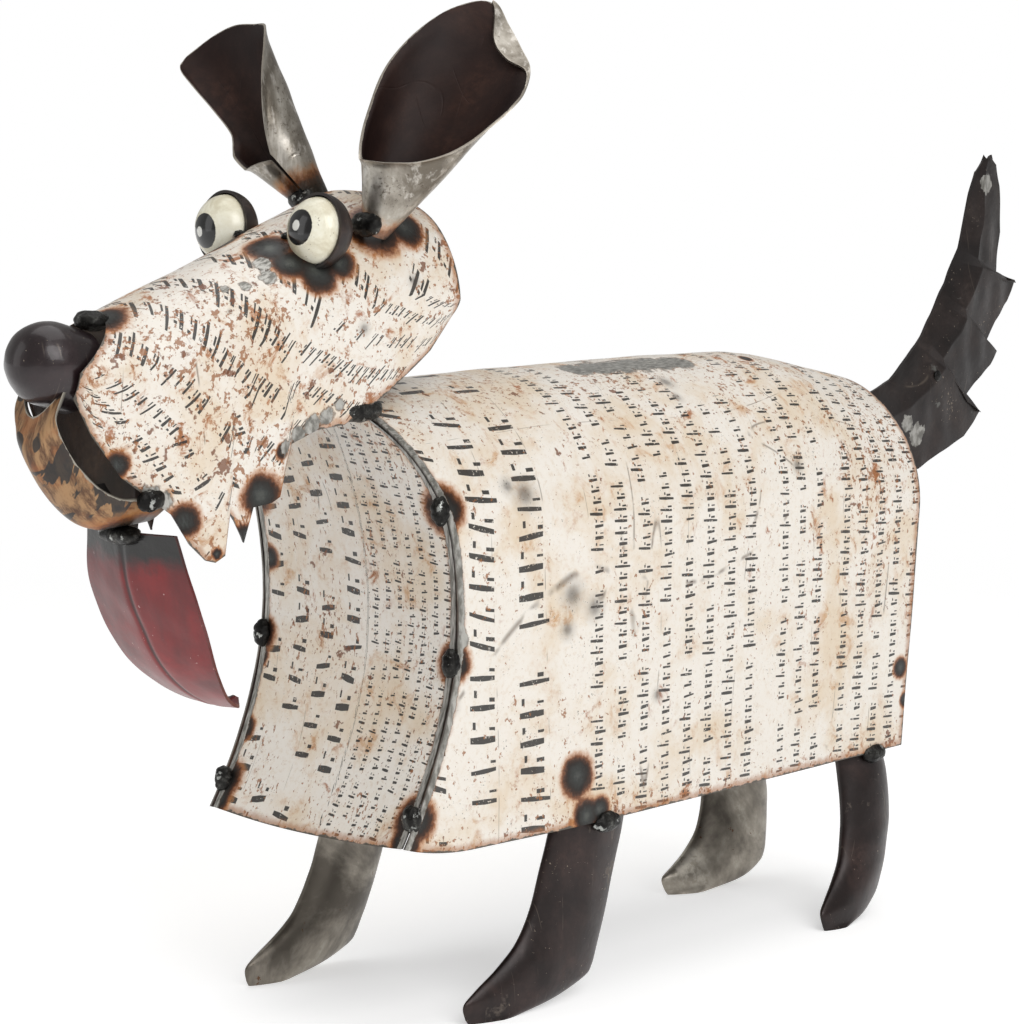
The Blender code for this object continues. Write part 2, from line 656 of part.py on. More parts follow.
def leg_cutter(name):
    """A leg's solid form grown by the gap."""
    rings = leg_rings(name, -GAP)
    n = LEG_SIDES
    last = (len(rings) - 1) * n
    faces = [tuple(reversed(range(n)))] + tube_faces(0, len(rings))
    faces.append(tuple(last + k for k in range(n)))
    return hide_cutter(make_object(name + "_cutter", [p for r in rings for p in r], faces, None))


def bead(name, centre, radii, cutters):
    """A lump of weld metal, hollowed where the pieces that it joins pass."""
    points = [(0.0, 0.0, 1.0)]
    for j in range(1, BEAD_RINGS):
        for k in range(BEAD_SIDES):
            a, b = math.pi * j / BEAD_RINGS, 2.0 * math.pi * k / BEAD_SIDES
            points.append((math.sin(a) * math.cos(b), math.sin(a) * math.sin(b), math.cos(a)))
    points.append((0.0, 0.0, -1.0))
    faces = []
    for k in range(BEAD_SIDES):
        n = (k + 1) % BEAD_SIDES
        faces.append((0, 1 + k, 1 + n))
        for j in range(BEAD_RINGS - 2):
            a, b = 1 + j * BEAD_SIDES, 1 + (j + 1) * BEAD_SIDES
            faces.append((a + k, b + k, b + n, a + n))
        base = 1 + (BEAD_RINGS - 2) * BEAD_SIDES
        faces.append((base + k, len(points) - 1, base + n))
    placed = [Vector([p[i] * radii[i] + centre[i] for i in range(3)]) for p in points]
    item = make_object(name, placed, faces, "weld_metal")
    for cutter in cutters:
        cut(item, cutter)
    return item


def even(count):
    """Evenly spaced parameter values from 0 to 1."""
    return np.linspace(0.0, 1.0, count + 1)


def widened(values, by):
    """The same parameter values with both ends moved outward, for a cutter."""
    wide = np.array(values, dtype=float)
    wide[0] -= by
    wide[-1] += by
    return wide


def pitched(pitch):
    """A forward direction raised by an angle."""
    return (0.0, -math.cos(pitch), math.sin(pitch))


def backward(direction):
    """The opposite direction."""
    return tuple(-c for c in direction)


def build_body():
    """The body shell and its two end plates. Returns a cutter with the grown form of each."""
    across, along = even(BODY_FACETS), even(BODY_ROWS)
    sheet("body_shell", body_surface, across, along, BODY_SHEET, "printed_sheet")
    chest = panel_surface(front_edge_y, 0.0, BODY_BOTTOM_Z + BODY_CORNER_RISE, CHEST_BELLY, 0.0, 0.0, -1.0)
    chest_grid = [even(count) for count in CHEST_GRID]
    sheet("chest_panel", chest, *chest_grid, BODY_SHEET, "printed_sheet", direction=(0.0, 1.0, 0.0))
    rump = panel_surface(rear_edge_y, 1.0, RUMP_LOW_Z, 0.0, -RUMP_INSET, RUMP_CROWN, 1.0)
    rump_grid = [even(count) for count in RUMP_GRID]
    sheet("rump_plate", rump, *rump_grid, BODY_SHEET, "printed_sheet", direction=(0.0, -1.0, 0.0))
    room = CUTTER_REACH / (BODY_REAR_Y - BODY_FRONT_Y)
    wide_u, wide_v = widened(across, room), widened(along, room)
    shell_cutter = hide_cutter(sheet("body_cutter", body_surface, wide_u, wide_v, BODY_SHEET, None, grow=GAP))
    chest_cutter = hide_cutter(sheet("chest_cutter", chest, *chest_grid, BODY_SHEET, None, grow=GAP,
                                     direction=(0.0, 1.0, 0.0)))
    rump_cutter = hide_cutter(sheet("rump_cutter", rump, *rump_grid, BODY_SHEET, None, grow=GAP,
                                    direction=(0.0, -1.0, 0.0)))
    return shell_cutter, chest_cutter, rump_cutter


def build_head():
    """The head shell, with a thin and a deep cutter of its form, and the jaw plate, with its cutter."""
    walls = np.array([0.0, 0.08, 0.165])
    across = np.concatenate([walls, 0.25 + 0.5 * even(9), 1.0 - walls[::-1]])
    along = np.sort(cheek_rows())
    sheet("head_shell", head_surface, across, along, HEAD_SHEET, "printed_sheet")
    room = CUTTER_REACH / (HEAD_SKULL_EDGE_Y - HEAD_SNOUT_EDGE_Y)
    wide_u, wide_v = widened(across, room), widened(along, room)
    thin = hide_cutter(sheet("head_cutter", head_surface, wide_u, wide_v, HEAD_SHEET, None, grow=GAP))
    deep = hide_cutter(sheet("skull_cutter", head_surface, across, along, SKULL_CUT_DEPTH, None, grow=GAP))
    plate = sheet("jaw_plate", jaw_surface, even(6), even(8), SCRAP_SHEET, "scrap_paint")
    wide = widened(even(6), 0.01)
    jaw = hide_cutter(sheet("jaw_cutter", jaw_surface, wide, even(8), SCRAP_SHEET, None, grow=GAP))
    return thin, deep, plate, jaw


def dome_cutter(name, radius, depth, skirt, base, axis):
    """A solid dome grown by the gap, to cut weld beads with."""
    outer = dome_profile(radius + GAP, depth + GAP, skirt + GAP, DOME_SHEET, DOME_STEPS)[:DOME_STEPS + 2]
    return hide_cutter(turned(name, outer + [(0.0, -skirt - GAP)], DOME_SIDES, base, axis, None))


def build_face(skull, plate):
    """Nose, eyes and eye cups. Returns the cutters with the forms of the nose and of each eye."""
    forward = pitched(NOSE_PITCH)
    place = from_neck(*NOSE_BASE)
    nose_profile = dome_profile(NOSE_RADIUS, NOSE_DEPTH, NOSE_SKIRT, DOME_SHEET, NOSE_STEPS)
    turned("nose", nose_profile, DOME_SIDES, place, forward, "dark_steel")
    nose = dome_cutter("nose_cutter", NOSE_RADIUS, NOSE_DEPTH, NOSE_SKIRT, place, forward)
    cut(plate, nose)
    look = pitched(EYE_PITCH)
    eyes = {}
    for side, word in ((1.0, "left"), (-1.0, "right")):
        base = from_neck(side * EYE_HALF_SPACING, EYE_Y, EYE_Z)
        eye_profile = dome_profile(EYE_RADIUS, EYE_DEPTH, EYE_SKIRT, DOME_SHEET, DOME_STEPS)
        cup_profile = dome_profile(CUP_RADIUS, CUP_DEPTH, EYE_SKIRT, DOME_SHEET, DOME_STEPS)
        cut(turned("eye_" + word, eye_profile, DOME_SIDES, base, look, "white_paint"), skull)
        cut(turned("eye_cup_" + word, cup_profile, DOME_SIDES, base, backward(look), "dark_steel"), skull)
        eyes[word] = (dome_cutter("eye_front_" + word, EYE_RADIUS, EYE_DEPTH, EYE_SKIRT, base, look),
                      dome_cutter("eye_back_" + word, CUP_RADIUS, CUP_DEPTH, EYE_SKIRT, base, backward(look)))
    return nose, eyes


def build_ears(skull):
    """Two rolled cones on the skull, each with a bead round the front of its root."""
    for word, ear in EARS.items():
        facets = even(len(ear["rim_reach"]) - 1)
        cut(sheet("ear_" + word, ear_surface(ear), facets, even(4), EAR_SHEET, "steel_sheet"), skull)
        axis, front = ear["axis"], min(ear["rim_reach"])
        top = EAR_ROOT_RADIUS + front * math.tan(ear["half_angle"]) + GAP
        profile = [(0.0, front), (top, front), (EAR_ROOT_RADIUS + GAP, 0.0), (0.0, 0.0)]
        base = from_neck(*ear["base"])
        cone = hide_cutter(turned("ear_cutter_" + word, profile, EAR_CUTTER_SIDES, base, axis, None))
        place = Vector(base) + Vector(axis).normalized() * EAR_BEAD_RISE
        bead("ear_weld_" + word, place + Vector((0.0, -EAR_ROOT_RADIUS, 0.0)), EAR_BEAD, (cone, skull))


def build_tongue_and_tail(jaw, rump):
    """The tongue under the jaw and the tail on the rump plate, each with its bead."""
    sheet("tongue", tongue_surface, even(6), even(10), TONGUE_SHEET, "red_paint")
    wide_u, wide_v = widened(even(6), 0.01), widened(even(10), 0.005)
    tongue = hide_cutter(sheet("tongue_cutter", tongue_surface, wide_u, wide_v, TONGUE_SHEET, None, grow=GAP))
    top_y, top_z = TONGUE_LINE[0]
    place = from_neck(0.0, top_y + 0.5 * TONGUE_SHEET, top_z - BEAD_DROP * TONGUE_BEAD[2])
    bead("tongue_weld", place, TONGUE_BEAD, (jaw, tongue))
    ridge = np.array([0.0, TAIL_RIDGE, TAIL_SECOND_ROW, 1.0])
    rows = even(len(TAIL_SMOOTH_EDGE) - 1)
    sheet("tail", tail_surface, ridge, rows, TAIL_SHEET, "dark_steel")
    wide = widened(ridge, 0.01)
    tail = hide_cutter(sheet("tail_cutter", tail_surface, wide, rows, TAIL_SHEET, None, grow=GAP))
    low_z = TAIL_FLAME_EDGE[0][1]
    place = (0.0, tail_root_y() + TAIL_BEAD[1] - BODY_SHEET, low_z - BEAD_SINK * TAIL_BEAD[2])
    bead("tail_weld", place, TAIL_BEAD, (rump, tail))


def build_legs(shell):
    """Four legs tucked inside the flanks, each with a bead round the flank's lower edge."""
    for name, one_leg in LEGS.items():
        leg(name)
        cutter = leg_cutter(name)
        level_z, front, rear = one_leg["slices"][-2]
        middle = one_leg["toe"][1] + 0.5 * (front + rear) * one_leg["scale"]
        across = one_leg["side"] * (leg_wall(name) + BODY_SHEET)
        place = (across, middle, BODY_BOTTOM_Z - BEAD_DROP * LEG_BEAD[2])
        bead(name.replace("leg_", "leg_weld_"), place, LEG_BEAD, (cutter, shell))


def build_seam_tacks(shell, chest):
    """Three tacks down each front edge of the body, where the chest panel meets it."""
    for side, word in ((1.0, "left"), (-1.0, "right")):
        for number, height in enumerate(SEAM_TACK_HEIGHTS, start=1):
            z = np.array(height)
            half = float(arch_inner_half(z, np.array(0.0)))
            place = (side * half, float(front_edge_y(z)) - BEAD_DROP * SEAM_TACK[1], height)
            bead("seam_tack_%s_%d" % (word, number), place, SEAM_TACK, (shell, chest))


def build_head_beads(shell, chest, head, skull, jaw, nose, eyes):
    """The beads that hold the head to the body, and the jaw, nose and eyes to the head."""
    for side, word in ((1.0, "left"), (-1.0, "right")):
        across = HEAD_HALF_SKULL - HEAD_CHEEK_TUCK - NECK_BEAD[0]
        up = BODY_CREST_FRONT_Z - BODY_HALF_FRONT + math.sqrt(BODY_HALF_FRONT**2 - across**2)
        place = from_neck(side * across, 0.0, up + NECK_BEAD_RISE * NECK_BEAD[2])
        bead("neck_weld_" + word, place, NECK_BEAD, (shell, chest, head))
        share = np.array((JAW_WELD_Y - HEAD_SNOUT_EDGE_Y) / (HEAD_SKULL_EDGE_Y - HEAD_SNOUT_EDGE_Y))
        cheek = float(head_half(share)) - HEAD_CHEEK_TUCK
        edge_z = float(np.interp(share, cheek_rows(), [z for y, z in CHEEK_EDGE]))
        bead("jaw_weld_" + word, from_neck(side * cheek, JAW_WELD_Y, edge_z), JAW_BEAD, (head, jaw))
        inward, down = EYE_BEAD_PLACE
        across, up = EYE_HALF_SPACING - inward * CUP_RADIUS, EYE_Z - down * CUP_RADIUS
        place = from_neck(side * across, EYE_Y - EYE_SKIRT, up)
        bead("eye_weld_" + word, place, EYE_BEAD, (skull, *eyes[word]))
    forward, low = BEAD_SINK * NOSE_BEAD[1], BEAD_SINK * NOSE_BEAD[2]
    place = from_neck(0.0, HEAD_SNOUT_CREST_Y - forward, HEAD_CREST_SNOUT_Z - low)
    bead("nose_weld", place, NOSE_BEAD, (head, nose))


def stand_at_origin():
    """Carry every object on one empty, and bring the middle of the base to the origin."""
    graph = bpy.context.evaluated_depsgraph_get()
    corners = []
    for item in bpy.context.scene.objects:
        if item.type == 'MESH' and not item.hide_render:
            corners += [item.matrix_world @ Vector(c) for c in item.evaluated_get(graph).bound_box]
    low = [min(c[i] for c in corners) for i in range(3)]
    high = [max(c[i] for c in corners) for i in range(3)]
    dog = bpy.data.objects.new("dog", None)
    for item in list(bpy.context.scene.objects):
        item.parent = dog
    bpy.context.scene.collection.objects.link(dog)
    dog.location = (-0.5 * (low[0] + high[0]), -0.5 * (low[1] + high[1]), -low[2])


def build():
    clear_scene()
    shell, chest, rump = build_body()
    head, skull, plate, jaw = build_head()
    nose, eyes = build_face(skull, plate)
    build_ears(skull)
    build_tongue_and_tail(jaw, rump)
    build_legs(shell)
    build_seam_tacks(shell, chest)
    build_head_beads(shell, chest, head, skull, jaw, nose, eyes)
    stand_at_origin()


build()
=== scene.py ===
"""The scrap metal dog: smooth sheets, weld beads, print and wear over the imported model.

Places are given in the dog's own frame, as in the solids: x across with the dog's left side at +x,
y along its back with the nose at -y, z up from the ground. in_scene() carries them over.
"""
import math

import bpy
import numpy as np
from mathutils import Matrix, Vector


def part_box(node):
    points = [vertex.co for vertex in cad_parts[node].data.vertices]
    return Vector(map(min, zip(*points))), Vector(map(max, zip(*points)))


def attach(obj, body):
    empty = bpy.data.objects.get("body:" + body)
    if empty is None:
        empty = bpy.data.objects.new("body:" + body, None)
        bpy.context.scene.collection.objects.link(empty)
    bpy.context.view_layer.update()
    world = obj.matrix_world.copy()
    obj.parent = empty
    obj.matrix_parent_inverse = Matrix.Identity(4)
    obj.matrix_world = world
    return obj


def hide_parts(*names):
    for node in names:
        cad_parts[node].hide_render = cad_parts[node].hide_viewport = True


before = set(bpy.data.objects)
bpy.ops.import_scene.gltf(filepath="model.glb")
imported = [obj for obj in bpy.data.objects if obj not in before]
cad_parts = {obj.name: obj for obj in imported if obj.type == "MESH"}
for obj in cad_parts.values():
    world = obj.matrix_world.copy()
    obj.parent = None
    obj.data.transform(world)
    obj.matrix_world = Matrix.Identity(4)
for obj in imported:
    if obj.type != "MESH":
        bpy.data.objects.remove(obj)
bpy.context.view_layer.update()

# Sheets
BODY_SHEET = 0.0012
HEAD_SHEET = 0.0011
EAR_SHEET = 0.0010
SCRAP_SHEET = 0.0014
DOME_SHEET = 0.0012
TONGUE_SHEET = 0.0016
TAIL_SHEET = 0.0022
LEG_SHEET = 0.0016
GAP = 0.0003

# Body
BODY_FRONT_Y = -0.1667
BODY_FRONT_TOP_Y = -0.1630
BODY_REAR_Y = 0.1830
BODY_REAR_BOTTOM_Y = 0.1760
BODY_BOTTOM_Z = 0.0800
BODY_CORNER_RISE = 0.0055
BODY_CREST_FRONT_Z = 0.2705
BODY_CREST_Z = 0.2733
BODY_CREST_REAR_Z = 0.2575
BODY_HALF_FRONT = 0.0610
BODY_HALF_MIDDLE = 0.0660
BODY_HALF_REAR = 0.0597
BODY_REAR_LEAN = 0.0050
BACK_KINK = 0.80
BACK_TOP = 0.50
BODY_WIDEST = 0.35
CORNER_LENGTH = 0.12
SCOOP_DEPTH = 0.0300
CHEST_BELLY = 0.0025
PANEL_TOP_HALF = 0.0100
RUMP_LOW_Z = 0.1260
RUMP_INSET = 0.0030
RUMP_CROWN = 0.0030
ROOM_INSIDE = 0.0006

# Head
HEAD_HALF_SNOUT = 0.0195
HEAD_HALF_SKULL = 0.0425
HEAD_SNOUT_CREST_Y = -0.2740
HEAD_SKULL_CREST_Y = -0.1170
HEAD_SNOUT_EDGE_Y = -0.2975
HEAD_SKULL_EDGE_Y = -0.1150
HEAD_CREST_SNOUT_Z = 0.3060
HEAD_CREST_BROW_Z = 0.3530
HEAD_CREST_REAR_Z = 0.3510
HEAD_BROW_Y = -0.1450
HEAD_CHEEK_TUCK = 0.0050
CHEEK_EDGE = (
    (-0.2975, 0.2760), (-0.2907, 0.2617), (-0.2785, 0.2447), (-0.2666, 0.2357), (-0.2571, 0.2287),
    (-0.2492, 0.2162), (-0.2421, 0.2093), (-0.2376, 0.2081), (-0.2329, 0.2105), (-0.2304, 0.2271),
    (-0.2242, 0.2150), (-0.2197, 0.2289), (-0.2110, 0.2301), (-0.2069, 0.2322), (-0.2041, 0.2437),
    (-0.2011, 0.2532), (-0.1881, 0.2580), (-0.1744, 0.2592), (-0.1532, 0.2702), (-0.1280, 0.2874),
    (-0.1150, 0.3010),
)
JAW_LINE = ((-0.3060, 0.2690), (-0.3095, 0.2550), (-0.2975, 0.2365), (-0.2805, 0.2235), (-0.2540, 0.2235))
JAW_TURN_UP = 0.0130

# Nose and eyes
NOSE_RADIUS = 0.0166
NOSE_DEPTH = 0.0170
NOSE_SKIRT = 0.0130
NOSE_BASE = (0.0, -0.2980, 0.2890)
NOSE_PITCH = math.radians(18.0)
EYE_RADIUS = 0.0137
EYE_DEPTH = 0.0108
EYE_SKIRT = 0.0012
CUP_RADIUS = 0.0155
CUP_DEPTH = 0.0130
EYE_HALF_SPACING = 0.0285
EYE_Y = -0.1830
EYE_Z = 0.3380
EYE_PITCH = math.radians(8.0)

# Ears
EAR_ROOT_RADIUS = 0.0055
EARS = {
    "left": {
        "side": 1.0, "base": (0.0330, -0.1560, 0.3360), "axis": (0.300, 0.188, 0.840),
        "half_angle": math.radians(21.2), "turn_out": math.radians(40.5),
        "rim_degrees": (
            -70.5, -53, -35, -18, 0, 17, 34, 50, 66, 80, 92, 106, 122, 140, 157, 173, 190, 209, 230, 254,
            280.5,
        ),
        "rim_reach": (
            0.0272, 0.0280, 0.0292, 0.0307, 0.0330, 0.0354, 0.0393, 0.0446, 0.0515, 0.0605, 0.0700,
            0.0775, 0.0845, 0.0895, 0.0960, 0.1028, 0.0955, 0.0800, 0.0610, 0.0400, 0.0270,
        ),
    },
    "right": {
        "side": -1.0, "base": (-0.0180, -0.1380, 0.3455), "axis": (-0.500, -0.318, 0.750),
        "half_angle": math.radians(16.1), "turn_out": math.radians(23.1),
        "rim_degrees": (
            -42, -20, 0, 20, 38, 52, 67, 80, 87, 91.5, 95, 103, 116, 134, 154, 176, 200, 220, 247, 279, 311,
        ),
        "rim_reach": (
            0.0270, 0.0295, 0.0310, 0.0320, 0.0335, 0.0405, 0.0445, 0.0485, 0.0530, 0.0650, 0.0870,
            0.0915, 0.0925, 0.0920, 0.0890, 0.0825, 0.0775, 0.0730, 0.0625, 0.0465, 0.0290,
        ),
    },
}

# Tongue and tail
TONGUE_LINE = (
    (-0.2640, 0.2205), (-0.2612, 0.2000), (-0.2545, 0.1821), (-0.2452, 0.1652),
    (-0.2329, 0.1530), (-0.2225, 0.1468), (-0.2120, 0.1436), (-0.2050, 0.1450),
)
TONGUE_HALF = (0.0275, 0.0320, 0.0320, 0.0280, 0.0210, 0.0150, 0.0090, 0.0025)
TONGUE_SETBACK = 0.0065
TAIL_SMOOTH_EDGE = (
    (0.0, 0.2360), (0.2167, 0.2452), (0.2371, 0.2520), (0.2480, 0.2600), (0.2593, 0.2687),
    (0.2635, 0.2730), (0.2680, 0.2780), (0.2726, 0.2834), (0.2770, 0.2900), (0.2800, 0.2945),
    (0.2842, 0.2994), (0.2870, 0.3050), (0.2900, 0.3100), (0.2941, 0.3166), (0.2985, 0.3300),
    (0.3025, 0.3450), (0.3065, 0.3560), (0.3130, 0.3626),
)
TAIL_FLAME_EDGE = (
    (0.0, 0.2030), (0.2593, 0.2045), (0.2771, 0.2109), (0.3004, 0.2185), (0.3151, 0.2307),
    (0.2999, 0.2380), (0.3102, 0.2457), (0.3242, 0.2544), (0.3303, 0.2614), (0.3202, 0.2677),
    (0.3271, 0.2774), (0.3385, 0.2874), (0.3444, 0.2983), (0.3254, 0.3000), (0.3292, 0.3240),
    (0.3275, 0.3480), (0.3240, 0.3590), (0.3190, 0.3622),
)
TAIL_FOLD = 0.0050
TAIL_RIDGE = 0.35
TAIL_RIVET = (0.2718, 0.2517)

# Legs
FRONT_LEG_SLICES = (
    (0.0000, 0.0030, 0.0350), (0.0030, 0.0010, 0.0560), (0.0085, 0.0000, 0.0730),
    (0.0130, 0.0060, 0.0775), (0.0200, 0.0180, 0.0805), (0.0300, 0.0310, 0.0840),
    (0.0450, 0.0400, 0.0885), (0.0620, 0.0455, 0.0930), (0.0800, 0.0510, 0.0970), (0.1180, 0.0600, 0.1010),
)
REAR_LEG_SLICES = (
    (0.0000, 0.0030, 0.0300), (0.0030, 0.0010, 0.0500), (0.0085, 0.0000, 0.0620),
    (0.0130, 0.0060, 0.0665), (0.0200, 0.0160, 0.0695), (0.0300, 0.0255, 0.0725),
    (0.0450, 0.0310, 0.0760), (0.0620, 0.0335, 0.0760), (0.0800, 0.0345, 0.0740), (0.1180, 0.0360, 0.0715),
)
LEG_HALF_THICKNESS = 0.0085
LEG_FLOOR_SLICE = 4
LEG_TWIST_END_Z = 0.0700
LEG_TUCK_END_Z = 0.0850
LEGS = {
    "leg_front_left": (FRONT_LEG_SLICES, 0.0500, -0.1220, -2.0, 1.00, 1.0),
    "leg_front_right": (FRONT_LEG_SLICES, -0.0630, -0.1460, -2.0, 0.88, -1.0),
    "leg_rear_left": (REAR_LEG_SLICES, 0.0610, 0.1085, 11.0, 0.82, 1.0),
    "leg_rear_right": (REAR_LEG_SLICES, -0.0410, 0.1100, 11.0, 1.02, -1.0),
}
SEAM_TACK_HEIGHTS = (0.0970, 0.1590, 0.2230)

BODY_LOW, BODY_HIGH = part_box("body_shell")
DOG = np.array([0.5 * (BODY_LOW[0] + BODY_HIGH[0]), BODY_LOW[1] - BODY_FRONT_Y, 0.0])


def in_scene(point):
    """Carry a place from the dog's own frame into the scene."""
    return np.asarray(point, dtype=float) + DOG


def lerp(a, b, t):
    return a + (b - a) * t


def even(count):
    return np.linspace(0, 1, count)


def smooth_line(points, t):
    """Cubic through points (Catmull-Rom), at shares t of its length or a little past its ends."""
    knots = np.asarray(points, dtype=float)
    if knots.ndim == 1:
        knots = knots[:, None]
    last = len(knots) - 1
    place = np.asarray(t, dtype=float) * last
    index = np.clip(np.floor(place).astype(int), 0, last - 1)
    f = (place - index)[..., None]
    padded = np.vstack([2 * knots[0] - knots[1], knots, 2 * knots[-1] - knots[-2]])
    a, b, c, d = padded[index], padded[index + 1], padded[index + 2], padded[index + 3]
    return 0.5 * (2 * b + (c - a) * f + (2 * a - 5 * b + 4 * c - d) * f**2 + (3 * b - a - 3 * c + d) * f**3)


def normals_of(surface, u, v):
    """Unit normal of a surface: the cross product of small steps along its two parameters."""
    step = 1e-3
    du = surface(u + step, v) - surface(u - step, v)
    dv = surface(u, v + step) - surface(u, v - step)
    normal = np.cross(du, dv)
    return normal / np.maximum(np.linalg.norm(normal, axis=-1, keepdims=True), 1e-12)


def unevenness(points, size, seed):
    """Smooth unevenness between -1 and 1: a sum of seven sine waves in turned directions.

    size is the length of the longest wave in metres, and each wave has its own phase.
    """
    draw = np.random.default_rng(seed)
    total = np.zeros(points.shape[:-1])
    weights = 0.0
    for octave in range(7):
        way = draw.normal(size=3)
        way /= np.linalg.norm(way)
        length = size * 0.78**octave
        weight = 0.85**octave
        total += weight * np.sin(2 * math.pi * (points @ way) / length + draw.uniform(0, 6.28))
        weights += weight
    return total / (0.6 * weights)


# The dog's surfaces, as in the solids


def body_half_width(v):
    rise = np.sin(np.clip(v / BODY_WIDEST, 0, 1) * math.pi / 2)
    behind = np.clip((v - BODY_WIDEST) / (1.0 - BODY_WIDEST), 0, None)
    front = lerp(BODY_HALF_FRONT, BODY_HALF_MIDDLE, rise)
    return np.where(v < BODY_WIDEST, front, lerp(BODY_HALF_MIDDLE, BODY_HALF_REAR, behind))


def body_crest(v):
    rise = BODY_CREST_Z - BODY_CREST_FRONT_Z
    level = BODY_CREST_Z - rise * (1.0 - np.clip(v, 0, 1) / BACK_TOP) ** 2
    kink_z = BODY_CREST_Z - rise * (1.0 - BACK_KINK / BACK_TOP) ** 2
    slope = (BODY_CREST_REAR_Z - kink_z) / (1.0 - BACK_KINK)
    return np.where(v < BACK_KINK, level, kink_z + slope * (v - BACK_KINK))


def body_bottom(v):
    return BODY_BOTTOM_Z + BODY_CORNER_RISE * np.clip(1.0 - v / CORNER_LENGTH, 0, 1) ** 2


def front_edge_y(z):
    low = BODY_BOTTOM_Z + BODY_CORNER_RISE
    t = (z - low) / (BODY_CREST_FRONT_Z - low)
    return lerp(BODY_FRONT_Y, BODY_FRONT_TOP_Y, t) + SCOOP_DEPTH * (1.0 - (2.0 * t - 1.0) ** 2)


def rear_edge_y(z):
    t = np.clip((z - BODY_BOTTOM_Z) / (BODY_CREST_REAR_Z - BODY_BOTTOM_Z), 0, 1)
    return lerp(BODY_REAR_BOTTOM_Y, BODY_REAR_Y, np.sin(t * math.pi / 2))


def body_arc(v):
    """Length of one flank wall and of the whole arch at a share v of the body's length."""
    half = body_half_width(v)
    wall = body_crest(v) - half - body_bottom(v)
    return wall, 2.0 * wall + math.pi * half


def body_surface(u, v):
    """u goes up the right flank, round the half circle of the back and down the left flank.

    Half width, crest and bottom vary with v, and y runs from the hollowed front edge to the rear.
    """
    half = body_half_width(v)
    crest = body_crest(v)
    wall, total = body_arc(v)
    s = u * total
    angle = np.clip((s - wall) / half, 0.0, math.pi)
    arc = math.pi * half
    below = np.where(s < wall, wall - s, np.where(s > wall + arc, s - wall - arc, 0.0))
    z = crest - half + half * np.sin(angle) - below
    lean = BODY_REAR_LEAN * np.clip(v, 0, None) ** 2 * below / wall
    x = -(half - lean) * np.cos(angle)
    y = lerp(front_edge_y(z), rear_edge_y(z), v)
    return np.stack([x, y, z], axis=-1)


def arch_inner_half(z, v):
    """Half the clear width inside the body at height z."""
    half = body_half_width(v)
    spring = body_crest(v) - half
    room = half - ROOM_INSIDE - BODY_SHEET - GAP
    above = np.clip(z - spring, 0.0, None)
    below = np.clip(spring - z, 0.0, None) / (spring - body_bottom(v))
    return np.sqrt(np.clip(room**2 - above**2, 1e-8, None)) - BODY_REAR_LEAN * v**2 * below


def panel_surface(edge_y, v_body, low, belly, setback, crown, facing):
    """A plate across one end of the body: straight across, and bent in profile like edge_y(z)."""
    half = float(body_half_width(np.array(v_body)))
    room = half - ROOM_INSIDE - BODY_SHEET - GAP
    spring = float(body_crest(np.array(v_body)) - half)
    top = spring + math.sqrt(room**2 - PANEL_TOP_HALF**2)

    def surface(u, v):
        side = facing * (1.0 - 2.0 * u)
        z = lerp(low, top, v)
        x = side * arch_inner_half(z, np.array(v_body))
        y = edge_y(z) + setback + crown * (1.0 - side**2) * np.sin(math.pi * np.clip(v, 0, 1))
        return np.stack([x, y, z - belly * (1.0 - side**2) * (1.0 - v)], axis=-1)

    return surface


def head_half(v):
    return lerp(HEAD_HALF_SNOUT, HEAD_HALF_SKULL, np.sin(np.clip(v, 0.0, 1.0) * math.pi / 2) ** 0.85)


def head_crest(v):
    brow = (HEAD_BROW_Y - HEAD_SNOUT_CREST_Y) / (HEAD_SKULL_CREST_Y - HEAD_SNOUT_CREST_Y)
    rising = lerp(HEAD_CREST_SNOUT_Z, HEAD_CREST_BROW_Z, v / brow)
    behind = lerp(HEAD_CREST_BROW_Z, HEAD_CREST_REAR_Z, ((v - brow) / (1.0 - brow)) ** 2)
    return np.where(v < brow, rising, behind)


def cheek_rows():
    ys = np.array([y for y, z in CHEEK_EDGE])
    return (ys - HEAD_SNOUT_EDGE_Y) / (HEAD_SKULL_EDGE_Y - HEAD_SNOUT_EDGE_Y)


def head_surface(u, v):
    """A quarter of u on each side is the cheek wall down to the jagged edge, the middle is a half circle."""
    half = head_half(v)
    spring = head_crest(v) - half
    edge = np.interp(v, cheek_rows(), [z for y, z in CHEEK_EDGE])
    angle = np.clip((u - 0.25) / 0.5, 0.0, 1.0) * math.pi
    down = np.clip((0.25 - u) / 0.25, 0.0, None) + np.clip((u - 0.75) / 0.25, 0.0, None)
    z = spring + half * np.sin(angle) - down * (spring - edge)
    x = -(half - HEAD_CHEEK_TUCK * down**1.5) * np.cos(angle)
    y_crest = lerp(HEAD_SNOUT_CREST_Y, HEAD_SKULL_CREST_Y, v)
    y_edge = lerp(HEAD_SNOUT_EDGE_Y, HEAD_SKULL_EDGE_Y, v)
    return np.stack([x, lerp(y_edge, y_crest, np.sin(angle)), z], axis=-1)


def jaw_surface(u, v):
    """The plate under the snout: a line in profile, with both long sides turned up by a parabola."""
    side = 1.0 - 2.0 * u
    line = smooth_line(JAW_LINE, v)
    share = (line[..., 0] - HEAD_SNOUT_EDGE_Y) / (HEAD_SKULL_EDGE_Y - HEAD_SNOUT_EDGE_Y)
    half = head_half(share) - HEAD_CHEEK_TUCK - HEAD_SHEET - GAP
    y = line[..., 0] + 0.5 * JAW_TURN_UP * side**2 * (1.0 - v)
    return np.stack([side * half, y, line[..., 1] + JAW_TURN_UP * side**2], axis=-1)


